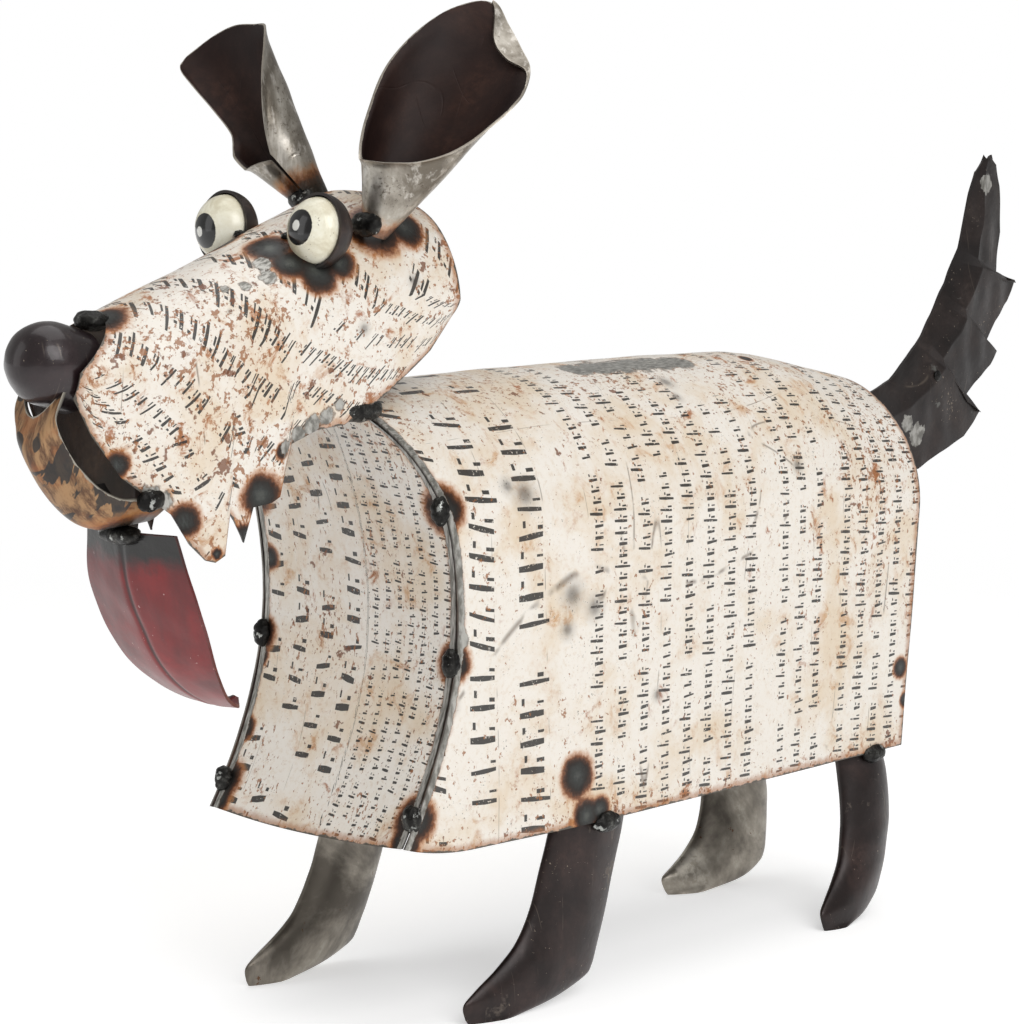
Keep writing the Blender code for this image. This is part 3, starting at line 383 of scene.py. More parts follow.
def tongue_surface(u, v):
    """A leaf: a line in profile, a half width along it, and both sides set back from the crease."""
    side = 1.0 - 2.0 * u
    line = smooth_line(TONGUE_LINE, v)
    half = smooth_line(TONGUE_HALF, v)[..., 0]
    back = TONGUE_SETBACK * np.abs(side) ** 1.2 * half / max(TONGUE_HALF)
    return np.stack([side * half, line[..., 0] + back, line[..., 1]], axis=-1)


def tail_surface(u, v):
    """A blade between two edges in the middle plane, folded along a ridge that fades at both ends."""
    share = np.linspace(0.0, 1.0, len(TAIL_SMOOTH_EDGE))
    root = float(rear_edge_y(np.array(TAIL_SMOOTH_EDGE[0][1]))) - RUMP_INSET + RUMP_CROWN + GAP
    smooth_y = np.array([max(y, root) for y, z in TAIL_SMOOTH_EDGE])
    flame_y = np.array([max(y, root) for y, z in TAIL_FLAME_EDGE])
    y = lerp(np.interp(v, share, smooth_y), np.interp(v, share, flame_y), u)
    z = lerp(np.interp(v, share, [p[1] for p in TAIL_SMOOTH_EDGE]),
             np.interp(v, share, [p[1] for p in TAIL_FLAME_EDGE]), u)
    ridge = np.where(u < TAIL_RIDGE, u / TAIL_RIDGE, (1.0 - u) / (1.0 - TAIL_RIDGE))
    x = TAIL_SHEET * 0.5 + TAIL_FOLD * (ridge - 0.5) * np.sin(math.pi * np.clip(v, 0, 1)) ** 0.5
    return np.stack([x, y, z], axis=-1)


def ear_surface(ear):
    """A rolled cone: u goes round it from slit to slit, v from the root to the slanted mouth.

    The rim is a smooth curve through pairs of an angle round the cone and a reach along its axis.
    """
    mirror = ear["side"]
    along = np.array(ear["axis"]) / np.linalg.norm(ear["axis"])
    facing = np.array([mirror * math.sin(ear["turn_out"]), -math.cos(ear["turn_out"]), 0.0])
    facing -= along * facing.dot(along)
    facing /= np.linalg.norm(facing)
    beside = np.cross(along, facing)

    def surface(u, v):
        share = u if mirror > 0 else 1.0 - u
        angle = np.radians(smooth_line(ear["rim_degrees"], share)[..., 0])
        length = smooth_line(ear["rim_reach"], share)[..., 0] * v
        radius = EAR_ROOT_RADIUS + length * math.tan(ear["half_angle"])
        ring = np.cos(mirror * angle)[..., None] * facing + np.sin(mirror * angle)[..., None] * beside
        return np.array(ear["base"]) + length[..., None] * along + radius[..., None] * ring

    return surface


def leg_wall(name):
    """Clear half width inside the body where a leg's top stands."""
    slices, _, toe_y, _, scale, _ = LEGS[name]
    length = BODY_REAR_Y - BODY_FRONT_Y
    ends = [(toe_y + slices[-1][k] * scale - BODY_FRONT_Y) / length for k in (1, 2)]
    heights = (BODY_BOTTOM_Z + BODY_CORNER_RISE, slices[-1][0])
    return min(float(arch_inner_half(np.array(z), np.array(min(v, 1.0)))) for v in ends for z in heights)


def leg_rings(name, inset, first, steps, sides):
    """Level outlines of a leg, from a slice to its top, on a smooth curve through its slices.

    Each is an ellipse, narrower at the toe low down, turned out by the splay, which fades upward,
    and moved sideways until it lies along the inside of the flank.
    """
    slices, toe_x, toe_y, splay, scale, side = LEGS[name]
    rows = np.array(slices)[first:]
    line = smooth_line(rows, even(steps))
    z, front, rear = line[:, 0], line[:, 1], line[:, 2]
    middle = 0.5 * (front + rear) * scale
    half_length = 0.5 * (rear - front) * scale - inset
    half_thick = LEG_HALF_THICKNESS * (1.0 - 0.35 * np.exp(-z / 0.012)) - inset
    turn = side * math.radians(splay) * np.clip(1.0 - z / LEG_TWIST_END_Z, 0, None)
    tucked = np.clip(z / LEG_TUCK_END_Z, 0, 1)
    x_middle = lerp(toe_x - middle * np.sin(turn), side * (leg_wall(name) - LEG_HALF_THICKNESS), tucked)
    angle = -2.0 * math.pi * np.arange(sides)[None, :] / sides
    along = half_length[:, None] * np.cos(angle)
    taper = 1.0 - 0.45 * np.clip(-np.cos(angle), 0, None) * np.exp(-z / 0.020)[:, None]
    lens = np.sin(angle) * (0.72 + 0.28 * np.abs(np.sin(angle)))
    across = half_thick[:, None] * lens * taper
    x = x_middle[:, None] + across * np.cos(turn)[:, None] - along * np.sin(turn)[:, None]
    y = toe_y + middle[:, None] + along * np.cos(turn)[:, None] + across * np.sin(turn)[:, None]
    return np.stack([x, y, np.broadcast_to(z[:, None], x.shape)], axis=-1)


# Marks in the paint, each as (x, y, z, radius). Those in a SIDE list are on both sides of the dog.
SEAM_TACK_BURNS = (0.0062, 0.0050, 0.0064)
SCORCH_REACH = 2.4
SMUDGE_REACH = 2.2
GROUND_REACH = 1.8
SCORCHED_SIDE = (
    (0.0152, -0.1973, 0.3310, 0.0060), (0.0257, -0.1955, 0.3253, 0.0052), (0.0325, -0.1867, 0.3212, 0.0056),
    (0.0333, -0.1753, 0.3248, 0.0045), (0.0299, -0.1522, 0.3380, 0.0077), (0.0316, -0.1368, 0.3385, 0.0060),
    (0.0195, -0.2804, 0.2500, 0.0034), (0.0253, -0.2517, 0.2257, 0.0045), (0.0307, -0.2163, 0.2333, 0.0060),
    (0.0292, -0.2249, 0.2173, 0.0034), (0.0275, -0.2371, 0.2117, 0.0017), (0.0335, -0.2072, 0.2509, 0.0022),
    (0.0654, -0.0676, 0.1022, 0.0060), (0.0655, -0.0616, 0.0838, 0.0052), (0.0655, -0.0530, 0.0851, 0.0040),
    (0.0566, 0.1720, 0.1188, 0.0034), (0.0556, 0.1774, 0.1022, 0.0026), (0.0586, -0.1647, 0.0885, 0.0046),
)
SCORCHED_MIDDLE = (
    (0.0038, -0.2744, 0.3056, 0.0066), (-0.0180, -0.1420, 0.3460, 0.0095), (0.0154, 0.1028, 0.2706, 0.0022),
    (0.0155, 0.1434, 0.2641, 0.0013), (0.0, 0.1830, 0.2200, 0.0080), (0.0, -0.2640, 0.2180, 0.0110),
    (-0.0557, -0.1353, 0.1924, 0.0036), (-0.0586, -0.1384, 0.1487, 0.0030),
    (-0.0586, -0.1485, 0.1183, 0.0040),
)
SMUDGED_SIDE = (
    (0.0612, -0.0957, 0.2264, 0.0052), (0.0595, -0.1044, 0.2304, 0.0030), (0.0649, -0.0701, 0.1812, 0.0052),
    (0.0654, -0.0568, 0.1745, 0.0044), (0.0648, -0.0732, 0.1666, 0.0034), (0.0319, 0.0270, 0.2648, 0.0036),
    (0.0408, 0.0246, 0.2587, 0.0024), (0.0651, -0.0153, 0.1309, 0.0024), (0.0610, 0.0863, 0.2242, 0.0030),
    (0.0610, -0.1402, 0.1419, 0.0034), (0.0416, -0.1410, 0.3167, 0.0024), (0.0401, -0.1681, 0.2983, 0.0024),
)
GROUND_SIDE = (
    (0.0334, -0.2053, 0.2522, 0.0026), (0.0330, -0.1980, 0.2567, 0.0030), (0.0339, -0.1913, 0.2603, 0.0034),
    (0.0350, -0.1840, 0.2635, 0.0030), (0.0361, -0.1779, 0.2677, 0.0021), (0.0221, -0.2664, 0.2366, 0.0039),
    (0.0232, -0.2615, 0.2342, 0.0039), (0.0204, -0.2053, 0.3254, 0.0034), (0.0261, -0.2075, 0.3202, 0.0030),
    (0.0248, -0.2186, 0.3169, 0.0021), (0.0220, -0.2267, 0.3160, 0.0017), (0.0612, -0.1329, 0.1688, 0.0026),
)
GROUND_MIDDLE = (
    (0.0137, -0.0138, 0.2718, 0.0064), (0.0137, 0.0000, 0.2718, 0.0074), (0.0137, 0.0130, 0.2718, 0.0074),
    (0.0137, 0.0260, 0.2718, 0.0076), (0.0137, 0.0400, 0.2718, 0.0074), (0.0149, 0.0540, 0.2714, 0.0068),
    (0.0030, 0.3135, 0.3491, 0.0045),
    (0.0030, 0.2575, 0.2218, 0.0055), (0.0030, 0.2480, 0.2290, 0.0040),
)


def both_sides(side_places, middle_places=()):
    mirrored = [(-x, y, z, radius) for x, y, z, radius in side_places]
    return np.array(list(side_places) + mirrored + list(middle_places))


def seam_burns():
    """One burn round each tack that holds the chest to a flank."""
    places = []
    for height, radius in zip(SEAM_TACK_HEIGHTS, SEAM_TACK_BURNS):
        z = np.array(height)
        places.append((float(arch_inner_half(z, np.array(0.0))), float(front_edge_y(z)), height, radius))
    return tuple(places)


SCORCHED = both_sides(SCORCHED_SIDE + seam_burns(), SCORCHED_MIDDLE)
SMUDGED = both_sides(SMUDGED_SIDE)
GROUND = both_sides(GROUND_SIDE, GROUND_MIDDLE)


def near(places, points, reach):
    """1 at the middle of a mark and 0 from reach times its radius away, straight between."""
    share = np.zeros(points.shape[:-1])
    for x, y, z, radius in places:
        distance = np.linalg.norm(points - np.array([x, y, z]), axis=-1)
        share = np.maximum(share, 1.0 - distance / (reach * radius))
    return share


def marks_at(points):
    return {"scorch": near(SCORCHED, points, SCORCH_REACH), "smudge": near(SMUDGED, points, SMUDGE_REACH),
            "ground": near(GROUND, points, GROUND_REACH)}


# Meshes


def signed_volume(points, faces):
    a, b, c = points[faces[:, 0]], points[faces[:, 1]], points[faces[:, 2]]
    return float(np.einsum("ij,ij->", a, np.cross(b, c)))


def make_piece(name, points, faces, replaces, finish, values=None, uv=None, sharp=38.0):
    """A closed piece at the origin, faces outward, with its values per point and its UV in metres."""
    points = in_scene(points)
    triangles = np.concatenate([faces[:, [0, 1, 2]], faces[:, [0, 2, 3]]])
    if signed_volume(points, triangles) < 0.0:
        faces = faces[:, ::-1]
    rows = [tuple(dict.fromkeys(face)) for face in faces.tolist()]
    mesh = bpy.data.meshes.new(name)
    mesh.from_pydata(points.tolist(), [], rows)
    for label, value in (values or {}).items():
        layer = mesh.attributes.new(label, 'FLOAT', 'POINT')
        layer.data.foreach_set("value", np.asarray(value, dtype=np.float32))
    if uv is not None:
        corners = np.empty(len(mesh.loops), dtype=np.int32)
        mesh.loops.foreach_get("vertex_index", corners)
        mesh.uv_layers.new(name="sheet").data.foreach_set("uv", uv[corners].astype(np.float32).ravel())
    mesh.validate()
    mesh.shade_smooth()
    mesh.set_sharp_from_angle(angle=math.radians(sharp))
    mesh.materials.append(finish)
    piece = bpy.data.objects.new(name, mesh)
    bpy.context.scene.collection.objects.link(piece)
    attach(piece, "root")
    if replaces:
        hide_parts(replaces)
    return piece


def grid_faces(rows, columns):
    index = np.arange(rows * columns).reshape(rows, columns)
    return np.stack([index[:-1, :-1], index[1:, :-1], index[1:, 1:], index[:-1, 1:]], axis=-1).reshape(-1, 4)


def plate(name, surface, across, along, thickness, finish, replaces, relief=None, uv=None,
          direction=None, extra=None):
    """A sheet of even thickness: the outer grid, the same grid moved inward, and a rim between them.

    relief(points, u, v) gives metres to move both faces outward. Each point gets its distance to
    the free edge, the marks on it, and whether it is on the inner face.
    """
    u, v = np.meshgrid(np.asarray(across, dtype=float), np.asarray(along, dtype=float), indexing="ij")
    face = surface(u, v)
    if direction is None:
        inward = -normals_of(surface, u, v)
    else:
        inward = np.broadcast_to(np.array(direction), face.shape)
    if relief is not None:
        face = face - inward * relief(face, u, v)[..., None]
    rows, columns = u.shape
    count = rows * columns
    points = np.vstack([face.reshape(-1, 3), (face + inward * thickness).reshape(-1, 3)])
    quads = grid_faces(rows, columns)
    index = np.arange(count).reshape(rows, columns)
    ring = np.concatenate([index[:-1, 0], index[-1, :-1], index[:0:-1, -1], index[0, :0:-1]])
    following = np.roll(ring, -1)
    rim = np.stack([ring + count, following + count, following, ring], axis=-1)
    faces = np.concatenate([quads, quads[:, ::-1] + count, rim])
    step_u = np.linalg.norm(np.diff(face, axis=0), axis=-1)
    step_v = np.linalg.norm(np.diff(face, axis=1), axis=-1)
    run_u = np.vstack([np.zeros((1, columns)), np.cumsum(step_u, axis=0)])
    run_v = np.hstack([np.zeros((rows, 1)), np.cumsum(step_v, axis=1)])
    edge = np.minimum(np.minimum(run_u, run_u[-1:] - run_u), np.minimum(run_v, run_v[:, -1:] - run_v))
    values = {"edge": np.tile(edge.ravel(), 2), "inside": np.repeat([0.0, 1.0], count), **marks_at(points)}
    for label, function in (extra or {}).items():
        values[label] = np.tile(function(face, u, v).ravel(), 2)
    flat = np.stack([run_u, run_v], axis=-1) if uv is None else uv(face, u, v)
    flat = np.tile(flat.reshape(-1, 2), (2, 1))
    return make_piece(name, points, faces, replaces, finish, values, flat)


def ring_piece(name, rings, first, last, finish, replaces, values=None, sharp=38.0):
    """A closed piece of stacked rings with a pole at each end."""
    count, sides = rings.shape[:2]
    points = np.vstack([rings.reshape(-1, 3), [first, last]])
    index = np.arange(count * sides).reshape(count, sides)
    nxt = np.roll(index, -1, axis=1)
    quads = np.stack([index[:-1], nxt[:-1], nxt[1:], index[1:]], axis=-1).reshape(-1, 4)
    low, high = count * sides, count * sides + 1
    start = np.stack([np.full(sides, low), np.full(sides, low), nxt[0], index[0]], axis=-1)
    end = np.stack([np.full(sides, high), np.full(sides, high), index[-1], nxt[-1]], axis=-1)
    values = {**marks_at(points), **(values or {})}
    faces = np.concatenate([quads, start, end])
    return make_piece(name, points, faces, replaces, finish, values, None, sharp)


def frame_of(axis):
    """Two unit vectors square to an axis, and the axis itself, as the columns of a matrix."""
    turn = Vector((0.0, 0.0, 1.0)).rotation_difference(Vector(axis)).to_matrix()
    return np.array(turn)


def dome(name, radius, depth, skirt, base, axis, finish, replaces, relief=0.0, seed=1, marks=None):
    """A thin dome turned round an axis: a quarter ellipse and a short skirt, outside and inside."""
    turn = frame_of(axis)
    quarter = np.linspace(0.03, 0.5 * math.pi, 26)
    outer = np.stack([radius * np.sin(quarter), depth * np.cos(quarter)], axis=-1)
    within = radius - DOME_SHEET
    inner = np.stack([within * np.sin(quarter), (depth - DOME_SHEET) * np.cos(quarter)], axis=-1)
    edge = [[radius, -0.5 * skirt], [radius, -skirt], [within, -skirt]]
    profile = np.vstack([outer, edge, inner[::-1]])
    angle = 2.0 * math.pi * np.arange(64) / 64
    local = np.stack([profile[:, :1] * np.cos(angle), profile[:, :1] * np.sin(angle),
                      np.broadcast_to(profile[:, 1:], (len(profile), 64))], axis=-1)
    local = local * (1.0 + relief * unevenness(local, 0.02, seed))[..., None]
    poles = np.array([[0.0, 0.0, depth], [0.0, 0.0, depth - DOME_SHEET]])
    values = {}
    every = np.vstack([local.reshape(-1, 3), poles])
    for label, function in (marks or {}).items():
        values[label] = function(every)
    rings = local @ turn.T + np.array(base)
    ends = poles @ turn.T + np.array(base)
    return ring_piece(name, rings, ends[0], ends[1], finish, replaces, values)


def lump(name, centre, half, finish, replaces=None, seed=1, ripples=5.0, rough=0.16):
    """A bead of weld metal: an ellipsoid with rings along its longest way and an uneven skin."""
    half = np.asarray(half, dtype=float)
    polar = np.linspace(0.06, math.pi - 0.06, 30)[:, None]
    angle = 2.0 * math.pi * np.arange(40)[None, :] / 40
    ball = np.stack([np.sin(polar) * np.cos(angle), np.sin(polar) * np.sin(angle),
                     np.broadcast_to(np.cos(polar), (30, 40))], axis=-1)
    ends = np.array([[0.0, 0.0, 1.0], [0.0, 0.0, -1.0]])
    longest = int(np.argmax(half))

    def swell(place):
        wave = np.abs(np.sin(ripples * place[..., longest] + seed)) ** 0.6
        return 0.90 + 0.08 * wave + rough * 0.5 * unevenness(place + seed, 1.7, seed)

    rings = ball * swell(ball)[..., None] * half + np.asarray(centre)
    tips = ends * swell(ends)[..., None] * half + np.asarray(centre)
    return ring_piece(name, rings, tips[0], tips[1], finish, replaces, sharp=60.0)


# Node trees


class Tree:
    """Short ways to add nodes to one tree. A value may be a socket or a plain number or colour."""

    def __init__(self, tree):
        self.tree = tree

    def node(self, kind, **settings):
        node = self.tree.nodes.new(kind)
        for key, value in settings.items():
            setattr(node, key, value)
        return node

    def feed(self, socket, value):
        if isinstance(value, bpy.types.NodeSocket):
            self.tree.links.new(value, socket)
        else:
            socket.default_value = value

    def math(self, operation, *values):
        node = self.node("ShaderNodeMath", operation=operation)
        for socket, value in zip(node.inputs, values):
            self.feed(socket, value)
        return node.outputs[0]

    def times(self, a, b):
        return self.math('MULTIPLY', a, b)

    def plus(self, a, b):
        return self.math('ADD', a, b)

    def minus(self, a, b):
        return self.math('SUBTRACT', a, b)

    def more(self, a, b):
        return self.math('MAXIMUM', a, b)

    def size_of(self, value):
        return self.math('ABSOLUTE', value)

    def over(self, a, b):
        return self.math('GREATER_THAN', a, b)

    def under(self, a, b):
        return self.math('LESS_THAN', a, b)

    def mix(self, factor, a, b):
        node = self.node("ShaderNodeMix", data_type='RGBA')
        for place, value in ((0, factor), (6, a), (7, b)):
            self.feed(node.inputs[place], value)
        return node.outputs[2]

    def coat(self, under, mask, tone, share):
        """Another colour over what is there, where the mask is, and only by a share."""
        return self.mix(self.times(mask, share), under, colour(*tone))

    def ragged(self, vector, scale, amount, detail, rough=0.55):
        """A noise about zero, to make a border uneven."""
        return self.times(self.minus(self.noise(vector, scale, detail, rough), 0.5), amount)

    def blend(self, factor, a, b):
        node = self.node("ShaderNodeMix", data_type='FLOAT')
        for place, value in ((0, factor), (2, a), (3, b)):
            self.feed(node.inputs[place], value)
        return node.outputs[0]

    def span(self, value, low, high, smooth=True):
        """0 at low, 1 at high, and smooth between."""
        node = self.node("ShaderNodeMapRange", interpolation_type='SMOOTHSTEP' if smooth else 'LINEAR')
        for place, entry in enumerate((value, low, high)):
            self.feed(node.inputs[place], entry)
        return node.outputs[0]

    def noise(self, vector, scale, detail=3.0, rough=0.55, distort=0.0):
        node = self.node("ShaderNodeTexNoise")
        self.feed(node.inputs["Vector"], vector)
        labels = ("Scale", "Detail", "Roughness", "Distortion")
        for label, value in zip(labels, (scale, detail, rough, distort)):
            self.feed(node.inputs[label], value)
        return node.outputs[0]

    def random(self, *parts):
        """Three random numbers and a fourth that change from whole number to whole number."""
        join = self.node("ShaderNodeCombineXYZ")
        for socket, part in zip(join.inputs, parts):
            self.feed(socket, part)
        node = self.node("ShaderNodeTexWhiteNoise", noise_dimensions='3D')
        self.feed(node.inputs["Vector"], join.outputs[0])
        split = self.node("ShaderNodeSeparateColor")
        self.feed(split.inputs[0], node.outputs["Color"])
        return split.outputs[0], split.outputs[1], split.outputs[2], node.outputs["Value"]

    def place(self):
        return self.node("ShaderNodeTexCoord").outputs["Object"]

    def stretched(self, vector, scale, turn=(0.0, 0.0, 0.0)):
        node = self.node("ShaderNodeMapping")
        self.feed(node.inputs["Vector"], vector)
        node.inputs["Rotation"].default_value = turn
        node.inputs["Scale"].default_value = scale
        return node.outputs[0]

    def value_of(self, label):
        return self.node("ShaderNodeAttribute", attribute_name=label).outputs["Fac"]

    def use(self, group, **inputs):
        node = self.node("ShaderNodeGroup", node_tree=group)
        for label, value in inputs.items():
            self.feed(node.inputs[label.replace("_", " ")], value)
        return node.outputs


def colour(red, green, blue):
    """A colour given in the 0 to 255 values of a screen, turned into light."""
    part = [c / 255.0 for c in (red, green, blue)]
    return tuple(c / 12.92 if c <= 0.04045 else ((c + 0.055) / 1.055) ** 2.4 for c in part) + (1.0,)


KINDS = {"value": "NodeSocketFloat", "colour": "NodeSocketColor", "vector": "NodeSocketVector"}


def make_group(name, inputs, outputs, build):
    """A shader node group with named sockets. build(tree, inputs) returns the output sockets."""
    tree = bpy.data.node_groups.new(name, "ShaderNodeTree")
    for label, kind, default in inputs:
        socket = tree.interface.new_socket(label, in_out='INPUT', socket_type=KINDS[kind])
        if default is not None:
            socket.default_value = default
    for label, kind in outputs:
        tree.interface.new_socket(label, in_out='OUTPUT', socket_type=KINDS[kind])
    t = Tree(tree)
    source = t.node("NodeGroupInput")
    sink = t.node("NodeGroupOutput")
    results = build(t, {label: source.outputs[label] for label, kind, default in inputs})
    for label, socket in results.items():
        t.feed(sink.inputs[label], socket)
    return tree


def build_print_rows(t, given):
    """Rows of loose strokes: in each cell a leaning wedge, and beside it, with narrow gaps between, a
    short low stroke and a short high dash. From far off the small ones run together.

    Row is a row's number and the share across it. Some cells are blank, and each row
    has its own shift and its own length.
    """
    row = t.math('FLOOR', given["Row"])
    up = t.minus(1.0, t.minus(given["Row"], row))
    row_a, _, row_c, _ = t.random(row, given["Seed"], 3.7)
    cell = t.plus(t.math('DIVIDE', given["Along"], given["Advance"]), t.times(row_a, 7.3))
    number = t.math('FLOOR', cell)
    across = t.minus(cell, number)
    a, b, c, d = t.random(number, row, given["Seed"])
    written = t.over(d, 0.12)
    end = t.under(given["Along"], t.plus(given["Length"], t.times(row_c, given["Ragged"])))
    lean = t.minus(b, 0.5)
    height = t.minus(up, 0.5)
    wedge_x = t.minus(t.minus(across, t.plus(0.28, t.times(a, 0.10))),
                     t.times(lean, t.times(height, 0.55)))
    width = t.times(given["Weight"], t.plus(0.75, t.times(c, 0.5)))
    width = t.times(width, t.minus(1.25, t.times(t.size_of(height), 1.1)))
    top = t.blend(t.over(b, given["Tall"]), given["Low top"], given["High top"])
    foot_z = t.minus(0.26, t.times(t.over(a, 0.88), 0.12))
    within = t.times(t.over(up, foot_z), t.under(up, top))
    wedge = t.times(t.under(t.size_of(wedge_x), width), within)
    low_x = t.minus(across, t.plus(0.60, t.times(c, 0.10)))
    low_top = t.plus(0.36, t.times(b, 0.08))
    low_in = t.times(t.over(up, 0.26), t.under(up, low_top))
    low_width = t.times(given["Weight"], t.plus(0.45, t.times(d, 0.45)))
    low = t.times(t.under(t.size_of(low_x), low_width), low_in)
    dash_z = t.minus(given["Low top"], t.plus(0.04, t.times(a, 0.06)))
    dash_near = t.under(t.size_of(t.minus(up, dash_z)), 0.030)
    dash_x = t.size_of(t.minus(across, t.plus(0.74, t.times(d, 0.06))))
    dash = t.times(t.under(dash_x, 0.12), dash_near)
    dash = t.times(dash, t.over(c, 0.30))
    mark = t.more(wedge, t.more(low, dash))
    kept = t.times(end, written)
    return {"Mask": t.times(mark, kept)}


def build_heat_tint(t, given):
    """Burnt paint: grey metal at the middle, then black, brown, orange and tan, with a ragged edge."""
    ragged = t.ragged(given["Vector"], 130.0, 0.34, 4.0, 0.6)
    fine = t.ragged(given["Vector"], 600.0, 0.20, 3.0, 0.6)
    heat = t.plus(given["Heat"], t.times(t.plus(ragged, fine), t.span(given["Heat"], 0.0, 0.25)))
    ramp = t.node("ShaderNodeValToRGB")
    stops = ((0.10, (196, 150, 98)), (0.26, (176, 112, 52)), (0.36, (120, 66, 24)), (0.46, (62, 34, 16)),
             (0.60, (34, 28, 24)), (0.80, (48, 50, 48)), (0.95, (74, 76, 72)))
    elements = ramp.color_ramp.elements
    while len(elements) < len(stops):
        elements.new(0.5)
    for element, (position, tone) in zip(elements, stops):
        element.position = position
        element.color = colour(*tone)
    t.feed(ramp.inputs[0], heat)
    return {"Colour": ramp.outputs[0], "Tint": t.span(heat, 0.08, 0.40), "Bare": t.span(heat, 0.40, 0.52)}


def build_specks(t, given):
    """Small rust specks of uneven size, thicker in some areas than in others."""
    area = t.noise(given["Vector"], t.times(given["Scale"], 0.07), 3.0, 0.6)
    dots = t.noise(given["Vector"], given["Scale"], 3.0, 0.65)
    level = t.minus(given["Level"], t.times(t.minus(area, 0.5), 0.35))
    return {"Mask": t.span(dots, level, t.plus(level, 0.035))}


def build_scratches(t, given):
    """Long thin scratches: narrow bands of a noise that is stretched far along one way."""
    long_way = t.stretched(given["Vector"], (1.0, 0.09, 0.16), (0.5, 0.35, 0.6))
    other_way = t.stretched(given["Vector"], (0.2, 1.0, 0.07), (-0.9, 0.2, -0.4))
    first = t.noise(long_way, given["Scale"], 1.0, 0.4)
    second = t.noise(other_way, t.times(given["Scale"], 0.8), 1.0, 0.4)
    one = t.span(t.size_of(t.minus(first, 0.52)), given["Width"], 0.0)
    two = t.span(t.size_of(t.minus(second, 0.47)), given["Width"], 0.0)
    broken = t.span(t.noise(given["Vector"], 60.0, 2.0), 0.50, 0.60)
    return {"Mask": t.times(t.more(one, two), broken)}


def build_edge_wear(t, given):
    """A worn strip along a sheet's free edge, of uneven width."""
    uneven = t.ragged(given["Vector"], 240.0, given["Width"], 4.0, 0.65)
    reach = t.plus(given["Edge"], t.times(uneven, 2.2))
    return {"Bare": t.span(reach, t.times(given["Width"], 0.5), t.times(given["Width"], 0.2)),
            "Rust": t.span(reach, t.times(given["Width"], 2.4), t.times(given["Width"], 0.6))}


def build_mottle(t, given):
    """Cloudy staining between three tones."""
    cloud = t.noise(given["Vector"], given["Scale"], 6.0, 0.62, 0.4)
    fine = t.noise(given["Vector"], t.times(given["Scale"], 9.0), 4.0, 0.65)
    first = t.mix(t.span(cloud, 0.38, 0.58), given["Dark"], given["Middle"])
    second = t.mix(t.times(t.span(cloud, 0.50, 0.72), t.span(fine, 0.35, 0.6)), first, given["Light"])
    return {"Colour": second, "Fine": fine}


VECTOR = ("Vector", "vector", None)
PRINT_ROWS = make_group("print_rows", [
    ("Along", "value", 0.0), ("Row", "value", 0.0), ("Advance", "value", 0.005), ("Seed", "value", 1.0),
    ("Weight", "value", 0.12), ("Tall", "value", 0.6), ("Low top", "value", 0.6), ("High top", "value", 0.76),
    ("Length", "value", 0.3), ("Ragged", "value", 0.1)], [("Mask", "value")], build_print_rows)
HEAT_TINT = make_group("heat_tint", [VECTOR, ("Heat", "value", 0.0)],
                       [("Colour", "colour"), ("Tint", "value"), ("Bare", "value")], build_heat_tint)
SPECKS = make_group("specks", [VECTOR, ("Scale", "value", 300.0), ("Level", "value", 0.66)],
                    [("Mask", "value")], build_specks)
SCRATCHES = make_group("scratches", [VECTOR, ("Scale", "value", 60.0), ("Width", "value", 0.004)],
                       [("Mask", "value")], build_scratches)
EDGE_WEAR = make_group("edge_wear", [VECTOR, ("Edge", "value", 1.0), ("Width", "value", 0.002)],
                       [("Bare", "value"), ("Rust", "value")], build_edge_wear)
TONES = [(label, "colour", (0.5, 0.5, 0.5, 1.0)) for label in ("Dark", "Middle", "Light")]
MOTTLE = make_group("mottle", [VECTOR, ("Scale", "value", 30.0)] + TONES,
                    [("Colour", "colour"), ("Fine", "value")], build_mottle)


def specks_on(t, vector, scale, level):
    return t.use(SPECKS, Vector=vector, Scale=scale, Level=level)["Mask"]


def clouds_on(t, vector, scale, dark, middle, light):
    return t.use(MOTTLE, Vector=vector, Scale=scale, Dark=colour(*dark), Middle=colour(*middle),
                 Light=colour(*light))


def make_finish(name, build, **constants):
    """A material: build(tree) returns the sockets of its shader, and constants are set on the shader."""
    finish = bpy.data.materials.new(name)
    finish.use_nodes = True
    t = Tree(finish.node_tree)
    shader = finish.node_tree.nodes["Principled BSDF"]
    for label, value in constants.items():
        shader.inputs[label.replace("_", " ")].default_value = value
    results = build(t)
    bump = results.pop("Height", None)
    if bump:
        height, strength, distance = bump
        node = t.node("ShaderNodeBump")
        node.inputs["Strength"].default_value = strength
        node.inputs["Distance"].default_value = distance
        t.feed(node.inputs["Height"], height)
        t.feed(shader.inputs["Normal"], node.outputs[0])
    for label, value in results.items():
        t.feed(shader.inputs[label], value)
    return finish


def ground_steel(t, place):
    """Ground metal with a ragged border: its mask, its colour, and the brown line round it."""
    reach = t.value_of("ground")
    ragged = t.ragged(place, 300.0, 0.8, 4.0, 0.65)
    reach = t.plus(reach, t.times(ragged, t.span(reach, 0.0, 0.2)))
    brushed = t.noise(t.stretched(place, (1.0, 0.25, 0.12), (0.3, 0.5, 0.2)), 1100.0, 3.0, 0.6)
    steel = t.mix(t.span(brushed, 0.36, 0.64), colour(112, 110, 104), colour(176, 174, 168))
    return t.span(reach, 0.34, 0.40), steel, t.span(reach, 0.20, 0.34)


